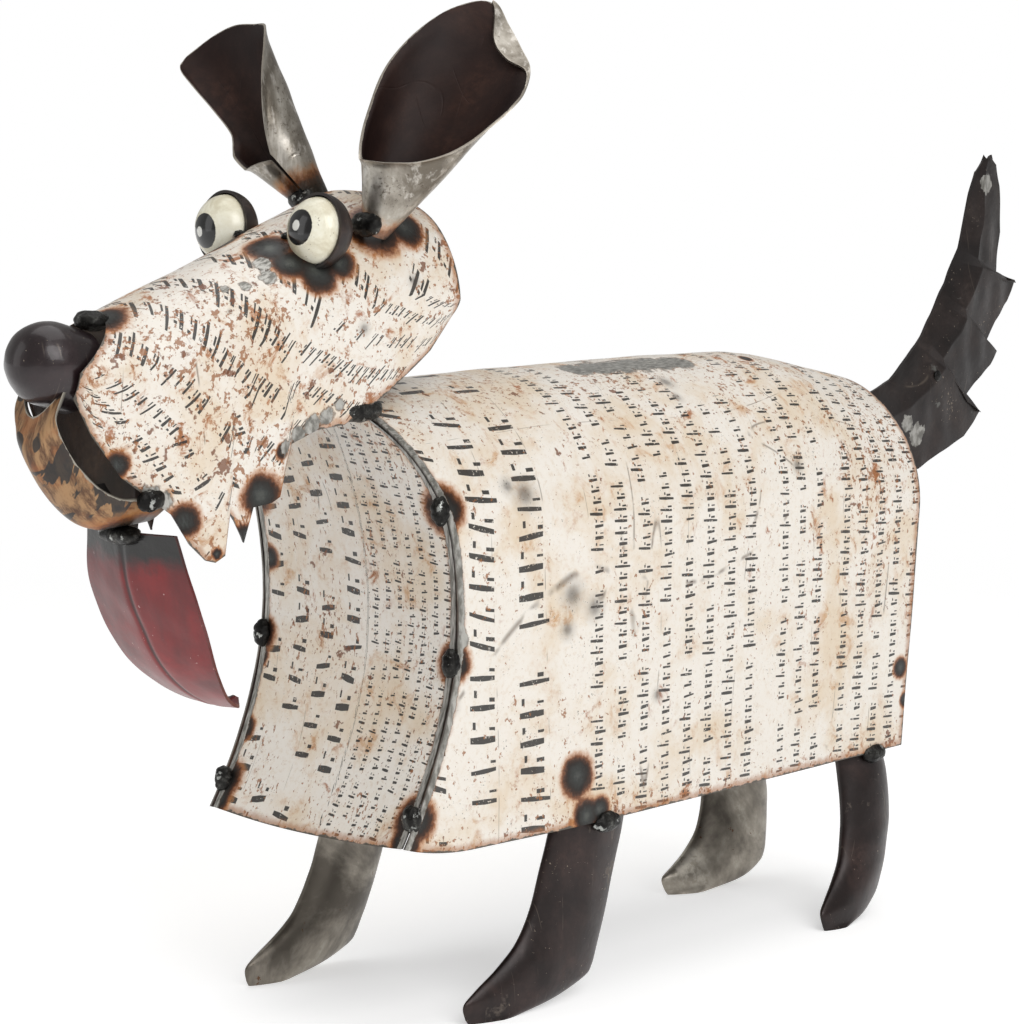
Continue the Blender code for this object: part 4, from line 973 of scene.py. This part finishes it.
def printed_sheet(t):
    """Off-white paint with rows of print, rust, flecks, smudges, scratches, burns and ground metal."""
    place = t.place()
    uv = t.node("ShaderNodeUVMap", uv_map="sheet").outputs[0]
    split = t.node("ShaderNodeSeparateXYZ")
    t.feed(split.inputs[0], uv)
    along, row = split.outputs[0], split.outputs[1]
    aged = t.value_of("aged")
    tan_area = t.noise(place, 24.0, 5.0, 0.62, 0.3)
    grain = t.noise(place, 420.0, 4.0, 0.7)
    blotch = t.noise(place, 95.0, 6.0, 0.72, 0.5)
    paint = t.mix(t.span(tan_area, 0.42, 0.66), colour(228, 222, 213), colour(217, 201, 179))
    paint = t.mix(t.times(t.span(grain, 0.48, 0.75), 0.35), paint, colour(196, 170, 134))
    stained = t.plus(tan_area, t.times(aged, 0.09))
    stain = t.times(t.span(blotch, 0.52, 0.68), t.span(stained, 0.44, 0.62))
    paint = t.coat(paint, stain, (188, 140, 92), 0.75)
    rusty = t.plus(t.noise(place, 33.0, 4.0, 0.6), t.times(aged, 0.15))
    deep = t.times(t.span(blotch, 0.55, 0.66), t.span(rusty, 0.56, 0.66))
    paint = t.coat(paint, deep, (152, 86, 38), 0.85)
    head_row = t.use(PRINT_ROWS, Along=along, Row=row, Advance=0.0125, Seed=2.0, Weight=0.085, Tall=-1.0,
                     Low_top=0.74, High_top=0.76, Length=0.45, Ragged=0.05)["Mask"]
    text_row = t.use(PRINT_ROWS, Along=along, Row=row, Advance=0.0050, Seed=5.0, Weight=0.105, Tall=0.66,
                     Low_top=0.60, High_top=0.78, Length=0.17, Ragged=0.13)["Mask"]
    inked = t.blend(t.over(row, 0.5), head_row, text_row)
    worn = t.span(t.noise(place, 520.0, 4.0, 0.75), 0.67, 0.60)
    inked = t.times(t.times(inked, t.value_of("text")), worn)
    paint = t.coat(paint, inked, (28, 26, 24), 0.95)
    short = t.stretched(place, (1.0, 0.6, 0.5))
    level = t.minus(0.655, t.times(aged, 0.085))
    flecks = specks_on(t, short, 640.0, level)
    large = specks_on(t, place, 150.0, t.plus(level, 0.06))
    pepper = specks_on(t, place, 900.0, 0.69)
    paint = t.coat(paint, flecks, (146, 92, 48), 0.85)
    paint = t.coat(paint, large, (112, 62, 28), 0.85)
    paint = t.coat(paint, pepper, (48, 38, 32), 0.8)
    lines = t.use(SCRATCHES, Vector=place, Scale=34.0, Width=0.0032)["Mask"]
    paint = t.coat(paint, lines, (88, 70, 54), 0.65)
    smudge = t.value_of("smudge")
    paint = t.mix(t.times(t.span(smudge, 0.0, 0.75), 0.32), paint, colour(96, 88, 80))
    paint = t.mix(t.times(t.span(smudge, 0.50, 0.90), 0.55), paint, colour(52, 46, 42))
    wear = t.use(EDGE_WEAR, Vector=place, Edge=t.value_of("edge"), Width=0.0020)
    paint = t.coat(paint, wear["Rust"], (160, 100, 50), 0.65)
    paint = t.mix(wear["Bare"], paint, colour(92, 86, 78))
    burn = t.use(HEAT_TINT, Vector=place, Heat=t.value_of("scorch"))
    paint = t.mix(burn["Tint"], paint, burn["Colour"])
    ground, steel, border = ground_steel(t, place)
    paint = t.coat(paint, border, (84, 62, 44), 0.7)
    paint = t.mix(ground, paint, steel)
    inner = t.value_of("inside")
    back = clouds_on(t, place, 30.0, (38, 28, 24), (66, 46, 36), (98, 70, 50))["Colour"]
    base = t.mix(inner, paint, back)
    bare = t.more(t.times(wear["Bare"], 0.8), t.times(burn["Bare"], 0.7))
    bare = t.more(bare, ground)
    rough = t.plus(0.30, t.times(t.span(blotch, 0.45, 0.75), 0.38))
    rough = t.plus(rough, t.times(burn["Tint"], 0.08))
    film = t.times(inked, 0.35)
    pits = t.times(t.plus(large, t.times(lines, 0.8)), 0.6)
    height = t.minus(t.plus(t.times(t.noise(place, 46.0, 3.0), 1.6), film), pits)
    height = t.minus(height, t.times(bare, 0.5))
    return {"Base Color": base, "Roughness": rough, "Metallic": t.times(bare, 0.5),
            "Height": (height, 0.55, 0.0004)}


def rolled_steel(t):
    """Ear steel: bright and mottled outside with brown stains, dark brown and glossy inside."""
    place = t.place()
    outside = clouds_on(t, place, 34.0, (112, 105, 95), (168, 162, 152), (214, 210, 202))
    streaks = t.noise(t.stretched(place, (1.0, 0.8, 0.12), (0.2, -0.3, 0.0)), 260.0, 5.0, 0.65)
    out = t.mix(t.times(t.span(streaks, 0.50, 0.64), 0.65), outside["Colour"], colour(208, 203, 195))
    specks = specks_on(t, place, 640.0, 0.63)
    out = t.coat(out, specks, (74, 62, 52), 0.60)
    inside = clouds_on(t, place, 22.0, (28, 16, 14), (40, 25, 21), (64, 42, 34))["Colour"]
    inner = t.value_of("inside")
    base = t.mix(inner, out, inside)
    wear = t.use(EDGE_WEAR, Vector=place, Edge=t.value_of("edge"), Width=0.0009)
    base = t.coat(base, wear["Bare"], (170, 162, 150), 0.6)
    burn = t.use(HEAT_TINT, Vector=place, Heat=t.value_of("scorch"))
    tint = t.times(burn["Tint"], 0.85)
    base = t.mix(tint, base, burn["Colour"])
    rough = t.blend(inner, t.plus(0.24, t.times(outside["Fine"], 0.22)), 0.52)
    lines = t.use(SCRATCHES, Vector=place, Scale=70.0, Width=0.006)["Mask"]
    height = t.plus(t.times(outside["Fine"], 0.4), t.times(t.noise(place, 60.0, 3.0), 1.2))
    height = t.minus(height, t.times(lines, 0.5))
    return {"Base Color": base, "Roughness": rough, "Metallic": t.blend(inner, 0.90, 0.10),
            "Height": (height, 0.45, 0.0004)}


def dark_coat(dark, middle, light, rough_low, patch, patch_share):
    """A builder of a dark coat over steel, with worn patches, specks and heat marks."""

    def build(t):
        place = t.place()
        tone = clouds_on(t, place, 38.0, dark, middle, light)
        worn = t.times(t.span(t.noise(place, 52.0, 5.0, 0.6, 0.3), patch_share, patch_share + 0.06), 0.85)
        base = t.mix(worn, tone["Colour"], colour(*patch))
        specks = specks_on(t, place, 640.0, 0.70)
        base = t.coat(base, specks, (176, 160, 140), 0.5)
        burn = t.use(HEAT_TINT, Vector=place, Heat=t.value_of("scorch"))
        base = t.mix(t.times(burn["Bare"], 0.6), base, burn["Colour"])
        lines = t.use(SCRATCHES, Vector=place, Scale=90.0, Width=0.006)["Mask"]
        base = t.coat(base, lines, (120, 108, 96), 0.30)
        ground, steel, _ = ground_steel(t, place)
        base = t.mix(t.times(ground, 0.8), base, steel)
        rough = t.plus(rough_low, t.times(tone["Fine"], 0.22))
        rough = t.plus(rough, t.times(worn, 0.12))
        height = t.plus(t.times(t.noise(place, 70.0, 3.0), 1.6), t.times(specks, 0.3))
        height = t.minus(height, t.times(worn, 0.35))
        return {"Base Color": base, "Roughness": rough, "Height": (height, 0.5, 0.0005)}

    return build


def bare_leg(t):
    """Olive grey steel with brighter rubbed areas and small rust specks."""
    place = t.place()
    tone = clouds_on(t, place, 26.0, (98, 92, 84), (150, 143, 132), (200, 194, 182))
    specks = specks_on(t, place, 300.0, 0.69)
    base = t.coat(tone["Colour"], specks, (96, 58, 30), 0.8)
    rough = t.plus(0.26, t.times(tone["Fine"], 0.25))
    height = t.plus(t.times(t.noise(place, 60.0, 3.0), 1.4), t.times(tone["Fine"], 0.25))
    return {"Base Color": base, "Roughness": rough, "Height": (height, 0.45, 0.0005)}


def red_coat(t):
    """Glossy dark red in cloudy tones, with white specks, painted shade along the crease down its middle, and
    burnt black at the top.
    """
    place = t.place()
    tone = clouds_on(t, place, 20.0, (84, 2, 5), (114, 4, 8), (134, 8, 11))
    specks = specks_on(t, place, 480.0, 0.70)
    base = t.coat(tone["Colour"], specks, (210, 180, 176), 0.7)
    # Painted shade: a dark red line along the crease down the tongue's middle.
    crease = t.span(t.value_of("crease"), 0.0016, 0.0004)
    base = t.coat(base, crease, (36, 8, 9), 0.8)
    char = t.plus(t.value_of("top"), t.ragged(place, 90.0, 0.10, 5.0, 0.6))
    burnt = t.span(char, 0.120, 0.050)
    base = t.mix(burnt, base, colour(34, 33, 32))
    wear = t.use(EDGE_WEAR, Vector=place, Edge=t.value_of("edge"), Width=0.0008)
    base = t.coat(base, wear["Bare"], (70, 22, 20), 0.55)
    height = t.plus(t.times(t.noise(place, 80.0, 3.0), 1.2), t.times(burnt, t.noise(place, 420.0, 4.0)))
    return {"Base Color": base, "Roughness": t.blend(burnt, 0.36, 0.40), "Height": (height, 0.4, 0.0005)}


def eye_coat(t):
    """Cream enamel with a black pupil, a painted highlight in it (a white glint dot), and painted shade
    towards the rim, where the dome sits in its cup.
    """
    place = t.place()
    ragged = t.ragged(place, 900.0, 0.0005, 3.0)
    tone = clouds_on(t, place, 70.0, (206, 198, 172), (232, 228, 208), (240, 238, 224))["Colour"]
    specks = specks_on(t, place, 700.0, 0.70)
    base = t.coat(tone, specks, (110, 92, 68), 0.75)
    rim = t.plus(t.value_of("rim"), t.times(t.noise(place, 260.0, 4.0, 0.6), 0.0022))
    # Painted shade: the enamel darkens towards the rim, where the dome sits in its cup.
    rim_shade = t.span(rim, 0.0145, 0.0165)
    base = t.coat(base, rim_shade, (96, 84, 66), 0.8)
    pupil = t.span(t.plus(t.value_of("pupil"), ragged), 0.0077, 0.0073)
    base = t.mix(pupil, base, colour(15, 15, 16))
    # Painted highlight: a white glint dot on the pupil, painted into the base colour.
    painted_highlight = t.span(t.plus(t.value_of("painted_highlight"), ragged), 0.0024, 0.0020)
    base = t.mix(painted_highlight, base, colour(226, 226, 220))
    height = t.plus(t.times(pupil, 0.8), t.times(t.noise(place, 160.0, 3.0), 0.5))
    return {"Base Color": base, "Roughness": t.blend(pupil, 0.24, 0.16), "Height": (height, 0.4, 0.0003)}


def scrap_coat(t):
    """Lip plate: brushed tan and orange streaks crossed by dark stripes, with ground grey along its edges."""
    place = t.place()
    streaks = t.noise(t.stretched(place, (1.0, 0.35, 0.10), (0.35, 0.0, 0.0)), 420.0, 5.0, 0.7)
    base = t.mix(t.span(streaks, 0.38, 0.62), colour(84, 54, 32), colour(160, 124, 86))
    orange = t.span(t.noise(place, 80.0, 4.0), 0.48, 0.62)
    base = t.coat(base, orange, (150, 88, 42), 0.5)
    stripes = t.noise(t.stretched(place, (0.4, 1.0, 0.16), (0.35, 0.0, 0.0)), 170.0, 3.0, 0.55, 0.3)
    black = t.span(stripes, 0.500, 0.525)
    base = t.coat(base, black, (30, 29, 28), 0.92)
    burn = t.use(HEAT_TINT, Vector=place, Heat=t.value_of("scorch"))
    base = t.mix(t.times(burn["Tint"], 0.9), base, burn["Colour"])
    ground, steel, _ = ground_steel(t, place)
    base = t.mix(ground, base, steel)
    wear = t.use(EDGE_WEAR, Vector=place, Edge=t.value_of("edge"), Width=0.0014)
    base = t.mix(wear["Bare"], base, colour(150, 144, 132))
    base = t.mix(t.value_of("inside"), base, colour(36, 30, 27))
    height = t.plus(t.times(streaks, 0.7), t.times(black, 0.3))
    return {"Base Color": base, "Roughness": t.blend(black, 0.46, 0.34), "Height": (height, 0.5, 0.0004)}


def weld_metal(t):
    """Dark weld metal with small silver spots on its ridges."""
    place = t.place()
    tone = clouds_on(t, place, 120.0, (20, 19, 18), (42, 41, 39), (104, 104, 100))
    silver = t.span(t.noise(place, 210.0, 4.0, 0.6), 0.60, 0.66)
    base = t.coat(tone["Colour"], silver, (176, 178, 174), 0.85)
    rough = t.minus(0.42, t.times(silver, 0.18))
    height = t.plus(t.noise(place, 170.0, 4.0, 0.6), t.times(t.noise(place, 700.0, 3.0), 0.4))
    return {"Base Color": base, "Roughness": rough, "Height": (height, 0.8, 0.0008)}


PRINTED = make_finish("printed_paint", printed_sheet)
EAR_STEEL = make_finish("ear_steel", rolled_steel, Specular_IOR_Level=0.2)
# Dark, middle and light tone, lowest roughness, and the tone and level of the worn patches
BROWN_LEG = make_finish("brown_leg_coat", dark_coat(
    (30, 21, 20), (44, 32, 30), (62, 46, 42), 0.26, (92, 82, 74), 0.66), Metallic=0.35)
TAIL_COAT = make_finish("tail_coat", dark_coat(
    (26, 20, 19), (38, 30, 28), (58, 48, 44), 0.28, (98, 98, 94), 0.66), Metallic=0.4)
NOSE_COAT = make_finish("nose_coat", dark_coat(
    (30, 20, 22), (40, 28, 30), (52, 36, 37), 0.20, (84, 76, 74), 0.72), Metallic=0.25, Coat_Weight=0.3)
CUP_COAT = make_finish("cup_coat", dark_coat(
    (30, 25, 24), (48, 38, 35), (74, 58, 50), 0.30, (110, 84, 60), 0.62), Metallic=0.3)
GREY_LEG = make_finish("grey_leg_steel", bare_leg, Metallic=0.75)
TONGUE_RED = make_finish("tongue_red", red_coat, Coat_Weight=0.15)
EYE_ENAMEL = make_finish("eye_enamel", eye_coat, Coat_Weight=0.3)
LIP_SCRAP = make_finish("lip_scrap", scrap_coat, Metallic=0.1)
WELD = make_finish("weld_beads", weld_metal, Metallic=0.75)


# Print rows on each sheet


FLANK_STRIP = 0.0028
CHEST_STRIP = 0.0024
HEAD_ROW_PITCH = 0.0168
RUMP_ROW_PITCH = 0.014


def flank_print(face, u, v):
    """Along: metres up from the nearer flank's lower edge. Row: a number that steps once per row of print."""
    _, total = body_arc(v)
    along = np.minimum(u, 1.0 - u) * total
    row = np.interp(face[..., 1], (-0.164, -0.080, -0.0625, 0.0575, 0.0685, 0.1075, 0.1155, 0.1840),
                    (-3.0, 0.0, 1.0, 9.0, 10.0, 13.0, 14.0, 19.0))
    return np.stack([along, row], axis=-1)


def flank_text(face, u, v):
    """1 where the flank carries rows and 0 in the bare bands between their groups."""
    y = face[..., 1]
    blank = ((y > -0.082) & (y < -0.0615)) | ((y > 0.0575) & (y < 0.0685)) | ((y > 0.1075) & (y < 0.1155))
    return np.where(blank, 0.0, 1.0)


def chest_print(face, u, v):
    """Rows run up the chest: four wide ones on its right, then narrow ones towards the left seam."""
    x, z = face[..., 0], face[..., 2]
    row = np.interp(x, (-0.0585, 0.0055, 0.0075, 0.0580), (-4.0, 0.0, 1.0, 8.0))
    along = np.where(x < 0.0065, z - 0.07, (z - 0.07) * 1.35) - 0.11
    return np.stack([along, row], axis=-1)


def head_print(face, u, v):
    """Rows slant up and forward over the cheek, at 45 degrees to the head's length."""
    half = head_half(v)
    round_top = np.abs(np.clip(u, 0.25, 0.75) - 0.5) * math.pi * half
    height = -round_top - np.clip(0.25 - u, 0, None) * 0.12 - np.clip(u - 0.75, 0, None) * 0.28
    y = face[..., 1]
    across = (y + height) * 0.7071
    along = (height - y) * 0.7071
    return np.stack([along - 0.12, (across + 0.60) / HEAD_ROW_PITCH + 1.0], axis=-1)


def rump_print(face, u, v):
    return np.stack([face[..., 2] - 0.12, face[..., 0] / RUMP_ROW_PITCH + 10.0], axis=-1)


def evenly(share):
    """The same value over a whole sheet."""
    return lambda face, u, v: np.full(face.shape[:-1], share)


def weathering(face, u, v):
    """How far rust has gone, 0 to 1: along the lower edge, over the back and towards the rear."""
    low = np.clip(1.0 - (face[..., 2] - BODY_BOTTOM_Z) / 0.014, 0, 1)
    high = 0.7 * np.clip((face[..., 2] - 0.235) / 0.03, 0, 1)
    rear = 0.8 * np.clip((face[..., 1] - 0.02) / 0.12, 0, 1) * np.clip((face[..., 2] - 0.13) / 0.08, 0, 1)
    return np.maximum(low, np.maximum(high, rear))


def ground_strip(face, distance, width):
    """Ground metal along a seam, fading past its width, besides the ground places."""
    return np.maximum(near(GROUND, face, GROUND_REACH), 0.75 * np.clip(1.6 - distance / width, 0, 1))


def flank_ground(face, u, v):
    return ground_strip(face, v * (BODY_REAR_Y - BODY_FRONT_Y), FLANK_STRIP)


def chest_ground(face, u, v):
    return ground_strip(face, np.minimum(u, 1.0 - u) * 2.0 * BODY_HALF_FRONT, CHEST_STRIP)


def dented(size, depth, seed):
    """A relief of shallow dents."""

    def relief(points, u, v):
        return depth * unevenness(points, size, seed)

    return relief


def crest_kink(points, u, v):
    """Shallow dents and a soft fold across the back where it bends down."""
    fold = np.exp(-((v - BACK_KINK) / 0.012) ** 2) * np.exp(-((u - 0.5) / 0.16) ** 2)
    return 0.00045 * unevenness(points, 0.12, 4) - 0.0007 * fold


def dense(values, count):
    """An even run from 0 to 1 that also holds every one of the given values."""
    return np.unique(np.round(np.concatenate([even(count), np.asarray(values)]), 6))


def build_body():
    plate("body_skin", body_surface, even(250), even(180), BODY_SHEET, PRINTED,
          "body_shell", crest_kink, flank_print,
          extra={"text": flank_text, "aged": weathering, "ground": flank_ground})
    chest = panel_surface(front_edge_y, 0.0, BODY_BOTTOM_Z + BODY_CORNER_RISE, CHEST_BELLY, 0.0, 0.0, -1.0)
    plate("chest_skin", chest, even(60), even(90), BODY_SHEET, PRINTED,
          "chest_panel", dented(0.09, 0.0004, 8), chest_print, direction=(0.0, 1.0, 0.0),
          extra={"text": evenly(1.0), "aged": evenly(0.35), "ground": chest_ground})
    rump = panel_surface(rear_edge_y, 1.0, RUMP_LOW_Z, 0.0, -RUMP_INSET, RUMP_CROWN, 1.0)
    plate("rump_skin", rump, even(50), even(60), BODY_SHEET, PRINTED,
          "rump_plate", dented(0.07, 0.0003, 9), rump_print, direction=(0.0, -1.0, 0.0),
          extra={"text": evenly(1.0), "aged": evenly(0.5)})


def build_head():
    runs = ((0.0, 0.25, 26), (0.25, 0.75, 90), (0.75, 1.0, 26))
    across = np.unique(np.concatenate([np.linspace(*run) for run in runs]))
    plate("head_skin", head_surface, across, dense(cheek_rows(), 110), HEAD_SHEET, PRINTED,
          "head_shell", dented(0.07, 0.0004, 11), head_print,
          extra={"text": evenly(1.0), "aged": evenly(0.9)})
    plate("lip_plate", jaw_surface, even(40), even(60), SCRAP_SHEET,
          LIP_SCRAP, "jaw_plate", dented(0.03, 0.0005, 12))


def build_face():
    forward = (0.0, -math.cos(NOSE_PITCH), math.sin(NOSE_PITCH))
    dome("nose_dome", NOSE_RADIUS, NOSE_DEPTH, NOSE_SKIRT, NOSE_BASE, forward, NOSE_COAT,
         "nose", relief=0.012, seed=3)
    look = np.array((0.0, -math.cos(EYE_PITCH), math.sin(EYE_PITCH)))
    side = np.array((1.0, 0.0, 0.0))
    upward = np.cross(look, side)
    upward = upward if upward[2] > 0 else -upward
    turn = frame_of(look)
    # Pupil and painted highlight (a white glint dot) of each eye, as metres (across, up) on the dome's face
    marks = {"left": ((-0.0004, 0.0004), (-0.0012, 0.0010)),
             "right": ((-0.0014, -0.0027), (-0.0036, -0.0030))}
    for sign, word in ((1.0, "left"), (-1.0, "right")):
        base = (sign * EYE_HALF_SPACING, EYE_Y, EYE_Z)

        def from_mark(place):
            flat = np.array(place[0]) * side + np.array(place[1]) * upward
            depth = EYE_DEPTH * math.sqrt(max(0.0, 1.0 - (place[0]**2 + place[1]**2) / EYE_RADIUS**2))
            point = flat + look * depth
            return lambda local: np.linalg.norm(local @ turn.T - point, axis=-1)

        pupil, painted_highlight = marks[word]
        dome("eye_ball_" + word, EYE_RADIUS, EYE_DEPTH, EYE_SKIRT, base, look, EYE_ENAMEL,
             "eye_" + word, relief=0.004, seed=5,
             marks={"pupil": from_mark(pupil), "painted_highlight": from_mark(painted_highlight),
                    "rim": lambda local: np.linalg.norm(local[:, :2], axis=-1)})
        dome("eye_socket_" + word, CUP_RADIUS, CUP_DEPTH, EYE_SKIRT, base, -look, CUP_COAT,
             "eye_cup_" + word, relief=0.01, seed=6)


def build_ears():
    for word, ear in EARS.items():
        def flare(points, u, v):
            return 0.0004 * unevenness(points, 0.05, 21) + 0.0010 * np.clip((v - 0.9) / 0.1, 0, 1) ** 2

        plate("ear_cone_" + word, ear_surface(ear), even(150), even(80), EAR_SHEET,
              EAR_STEEL, "ear_" + word, flare)


FLAP_SHARES = (0.55, 0.75)
FLAP_LENGTHS = (0.0004, 0.0025, 0.0090, 0.0110, 0.0004)


def flap_surface(ear):
    """The ear's tip bent back over its mouth: from the rim inward and down, by a smooth run of lengths."""
    cone = ear_surface(ear)
    base = np.array(ear["base"])
    along = np.array(ear["axis"]) / np.linalg.norm(ear["axis"])

    def surface(u, v):
        rim = cone(lerp(FLAP_SHARES[0], FLAP_SHARES[1], u), np.ones_like(u))
        ring = rim - base - ((rim - base) @ along)[..., None] * along
        ring /= np.linalg.norm(ring, axis=-1, keepdims=True)
        length = smooth_line(FLAP_LENGTHS, u) * v[..., None]
        return rim + length * (-0.8 * ring - 0.6 * along) + 0.0012 * along

    return surface


def build_ear_flap():
    plate("ear_flap_left", flap_surface(EARS["left"]), np.linspace(0.01, 0.99, 50), even(16), EAR_SHEET,
          EAR_STEEL, None, extra={"inside": evenly(0.0)})


def build_tail_rivet():
    """A rivet seated in the blade's left face, at the blade's own point nearest to its place."""
    u, v = np.meshgrid(even(200), even(400), indexing="ij")
    blade = tail_surface(u, v).reshape(-1, 3)
    seat = blade[np.argmin(np.linalg.norm(blade[:, 1:] - np.array(TAIL_RIVET), axis=-1))]
    lump("tail_rivet", seat, (0.0014, 0.0030, 0.0030), WELD, seed=9, ripples=0.0, rough=0.06)


def build_tongue_and_tail():
    # Distance from the tongue's middle line, which places the painted shade along its crease.
    def crease(points, u, v):
        return np.abs(points[..., 0])

    def from_top(points, u, v):
        return np.clip(v, 0, 1)

    def leaf(points, u, v):
        return -0.0009 * np.exp(-(points[..., 0] / 0.0016) ** 2) + 0.0003 * unevenness(points, 0.05, 14)

    plate("tongue_leaf", tongue_surface, even(90), even(110), TONGUE_SHEET,
          TONGUE_RED, "tongue", leaf, extra={"crease": crease, "top": from_top})
    rows = dense(even(len(TAIL_SMOOTH_EDGE)), 150)
    plate("tail_blade", tail_surface, dense((TAIL_RIDGE,), 40), rows, TAIL_SHEET, TAIL_COAT,
          "tail", dented(0.035, 0.0006, 15))


def build_legs():
    for number, name in enumerate(LEGS):
        steps, sides = 70, 56
        outer = leg_rings(name, 0.0, 0, steps, sides)
        inner = leg_rings(name, LEG_SHEET, LEG_FLOOR_SLICE, 40, sides)[::-1]
        uneven = 0.0004 * unevenness(outer, 0.05, 30 + number)
        fade = np.clip(outer[..., 2] / 0.01, 0, 1)
        middle = outer.mean(axis=1, keepdims=True)
        way = outer - middle
        way /= np.linalg.norm(way, axis=-1, keepdims=True)
        outer = outer + way * (uneven * fade)[..., None]
        rings = np.concatenate([outer, inner])
        finish = BROWN_LEG if LEGS[name][-1] > 0 else GREY_LEG
        ring_piece(name + "_boot", rings, outer[0].mean(axis=0), inner[-1].mean(axis=0), finish, name)


def build_beads():
    """Every bead of the solids as a rippled lump of the same size."""
    names = [n for n in sorted(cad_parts) if "weld" in n or "tack" in n]
    for number, node in enumerate(names):
        low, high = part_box(node)
        centre = 0.5 * (np.array(low) + np.array(high)) - DOG
        half = 0.5 * (np.array(high) - np.array(low))
        lump(node + "_bead", centre, half * 0.98, WELD, node, seed=number + 1)


FLOOR_HALF = 14.0


def build_floor():
    mesh = bpy.data.meshes.new("floor")
    corners = ((-1, -1), (1, -1), (1, 1), (-1, 1))
    mesh.from_pydata([(FLOOR_HALF * x, FLOOR_HALF * y, 0.0) for x, y in corners], [], [(0, 1, 2, 3)])
    finish = bpy.data.materials.new("floor_paper")
    finish.use_nodes = True
    t = Tree(finish.node_tree)
    shader = finish.node_tree.nodes["Principled BSDF"]
    distance = t.node("ShaderNodeVectorMath", operation='LENGTH')
    t.feed(distance.inputs[0], t.place())
    far = t.span(distance.outputs["Value"], 0.50, 1.50)
    grain = t.noise(t.place(), 3.0, 2.0)
    paper = t.mix(grain, (0.74, 0.74, 0.74, 1.0), (0.78, 0.78, 0.78, 1.0))
    t.feed(shader.inputs["Base Color"], t.mix(far, paper, (0.0, 0.0, 0.0, 1.0)))
    t.feed(shader.inputs["Emission Color"], t.mix(far, (0.50, 0.50, 0.50, 1.0), (1.0, 1.0, 1.0, 1.0)))
    shader.inputs["Emission Strength"].default_value = 1.0
    shader.inputs["Specular IOR Level"].default_value = 0.0
    shader.inputs["Roughness"].default_value = 0.9
    mesh.materials.append(finish)
    floor = bpy.data.objects.new("floor", mesh)
    bpy.context.scene.collection.objects.link(floor)


def add_light(name, place, target, size, power, tone=(1.0, 1.0, 1.0)):
    light = bpy.data.lights.new(name, 'AREA')
    light.shape = 'RECTANGLE'
    light.size, light.size_y = size
    light.energy = power
    light.color = tone
    item = bpy.data.objects.new(name, light)
    item.location = in_scene(place)
    way = Vector(in_scene(target)) - Vector(item.location)
    item.rotation_euler = way.to_track_quat('-Z', 'Y').to_euler()
    bpy.context.scene.collection.objects.link(item)


def build_light():
    world = bpy.data.worlds.new("studio")
    bpy.context.scene.world = world
    world.use_nodes = True
    t = Tree(world.node_tree)
    plain = world.node_tree.nodes["Background"]
    plain.inputs["Color"].default_value = (1.0, 1.0, 1.0, 1.0)
    plain.inputs["Strength"].default_value = 1.0
    dim = t.node("ShaderNodeBackground")
    dim.inputs["Color"].default_value = (1.0, 0.99, 0.97, 1.0)
    dim.inputs["Strength"].default_value = 0.40
    mix = t.node("ShaderNodeMixShader")
    t.feed(mix.inputs[0], t.node("ShaderNodeLightPath").outputs["Is Camera Ray"])
    t.feed(mix.inputs[1], dim.outputs[0])
    t.feed(mix.inputs[2], plain.outputs[0])
    t.feed(world.node_tree.nodes["World Output"].inputs["Surface"], mix.outputs[0])
    middle = (0.0, 0.0, 0.18)
    add_light("key_softbox", (1.5, -0.5, 1.3), middle, (1.2, 1.2), 18.0)
    add_light("top_softbox", (0.0, 0.1, 1.9), middle, (1.8, 1.4), 11.0)
    add_light("left_softbox", (-0.9, -1.5, 0.8), middle, (0.7, 1.2), 2.5)


CAMERA_AZIMUTH = math.radians(44.0)
CAMERA_HEIGHT_ANGLE = math.radians(7.0)
CAMERA_DISTANCE = 1.376
CAMERA_TARGET = (0.035, -0.078, 0.215)
FOCAL_PIXELS = 3200.0
FRAME_PIXELS = 1024.0
SENSOR_HEIGHT = 36.0


def build_camera():
    """A camera on the photograph's line of sight, with the focal length given in pixels of the frame."""
    camera = bpy.data.cameras.new("camera")
    camera.sensor_fit = 'VERTICAL'
    camera.sensor_height = SENSOR_HEIGHT
    camera.lens = SENSOR_HEIGHT * FOCAL_PIXELS / FRAME_PIXELS
    item = bpy.data.objects.new("camera", camera)
    back = Vector((math.sin(CAMERA_AZIMUTH) * math.cos(CAMERA_HEIGHT_ANGLE),
                   -math.cos(CAMERA_AZIMUTH) * math.cos(CAMERA_HEIGHT_ANGLE), math.sin(CAMERA_HEIGHT_ANGLE)))
    item.location = Vector(in_scene(CAMERA_TARGET)) + back * CAMERA_DISTANCE
    item.rotation_euler = (-back).to_track_quat('-Z', 'Y').to_euler()
    bpy.context.scene.collection.objects.link(item)
    bpy.context.scene.camera = item


build_body()
build_head()
build_face()
build_ears()
build_ear_flap()
build_tail_rivet()
build_tongue_and_tail()
build_legs()
build_beads()
build_floor()
build_light()
build_camera()
bpy.context.scene.view_settings.view_transform = 'Standard'
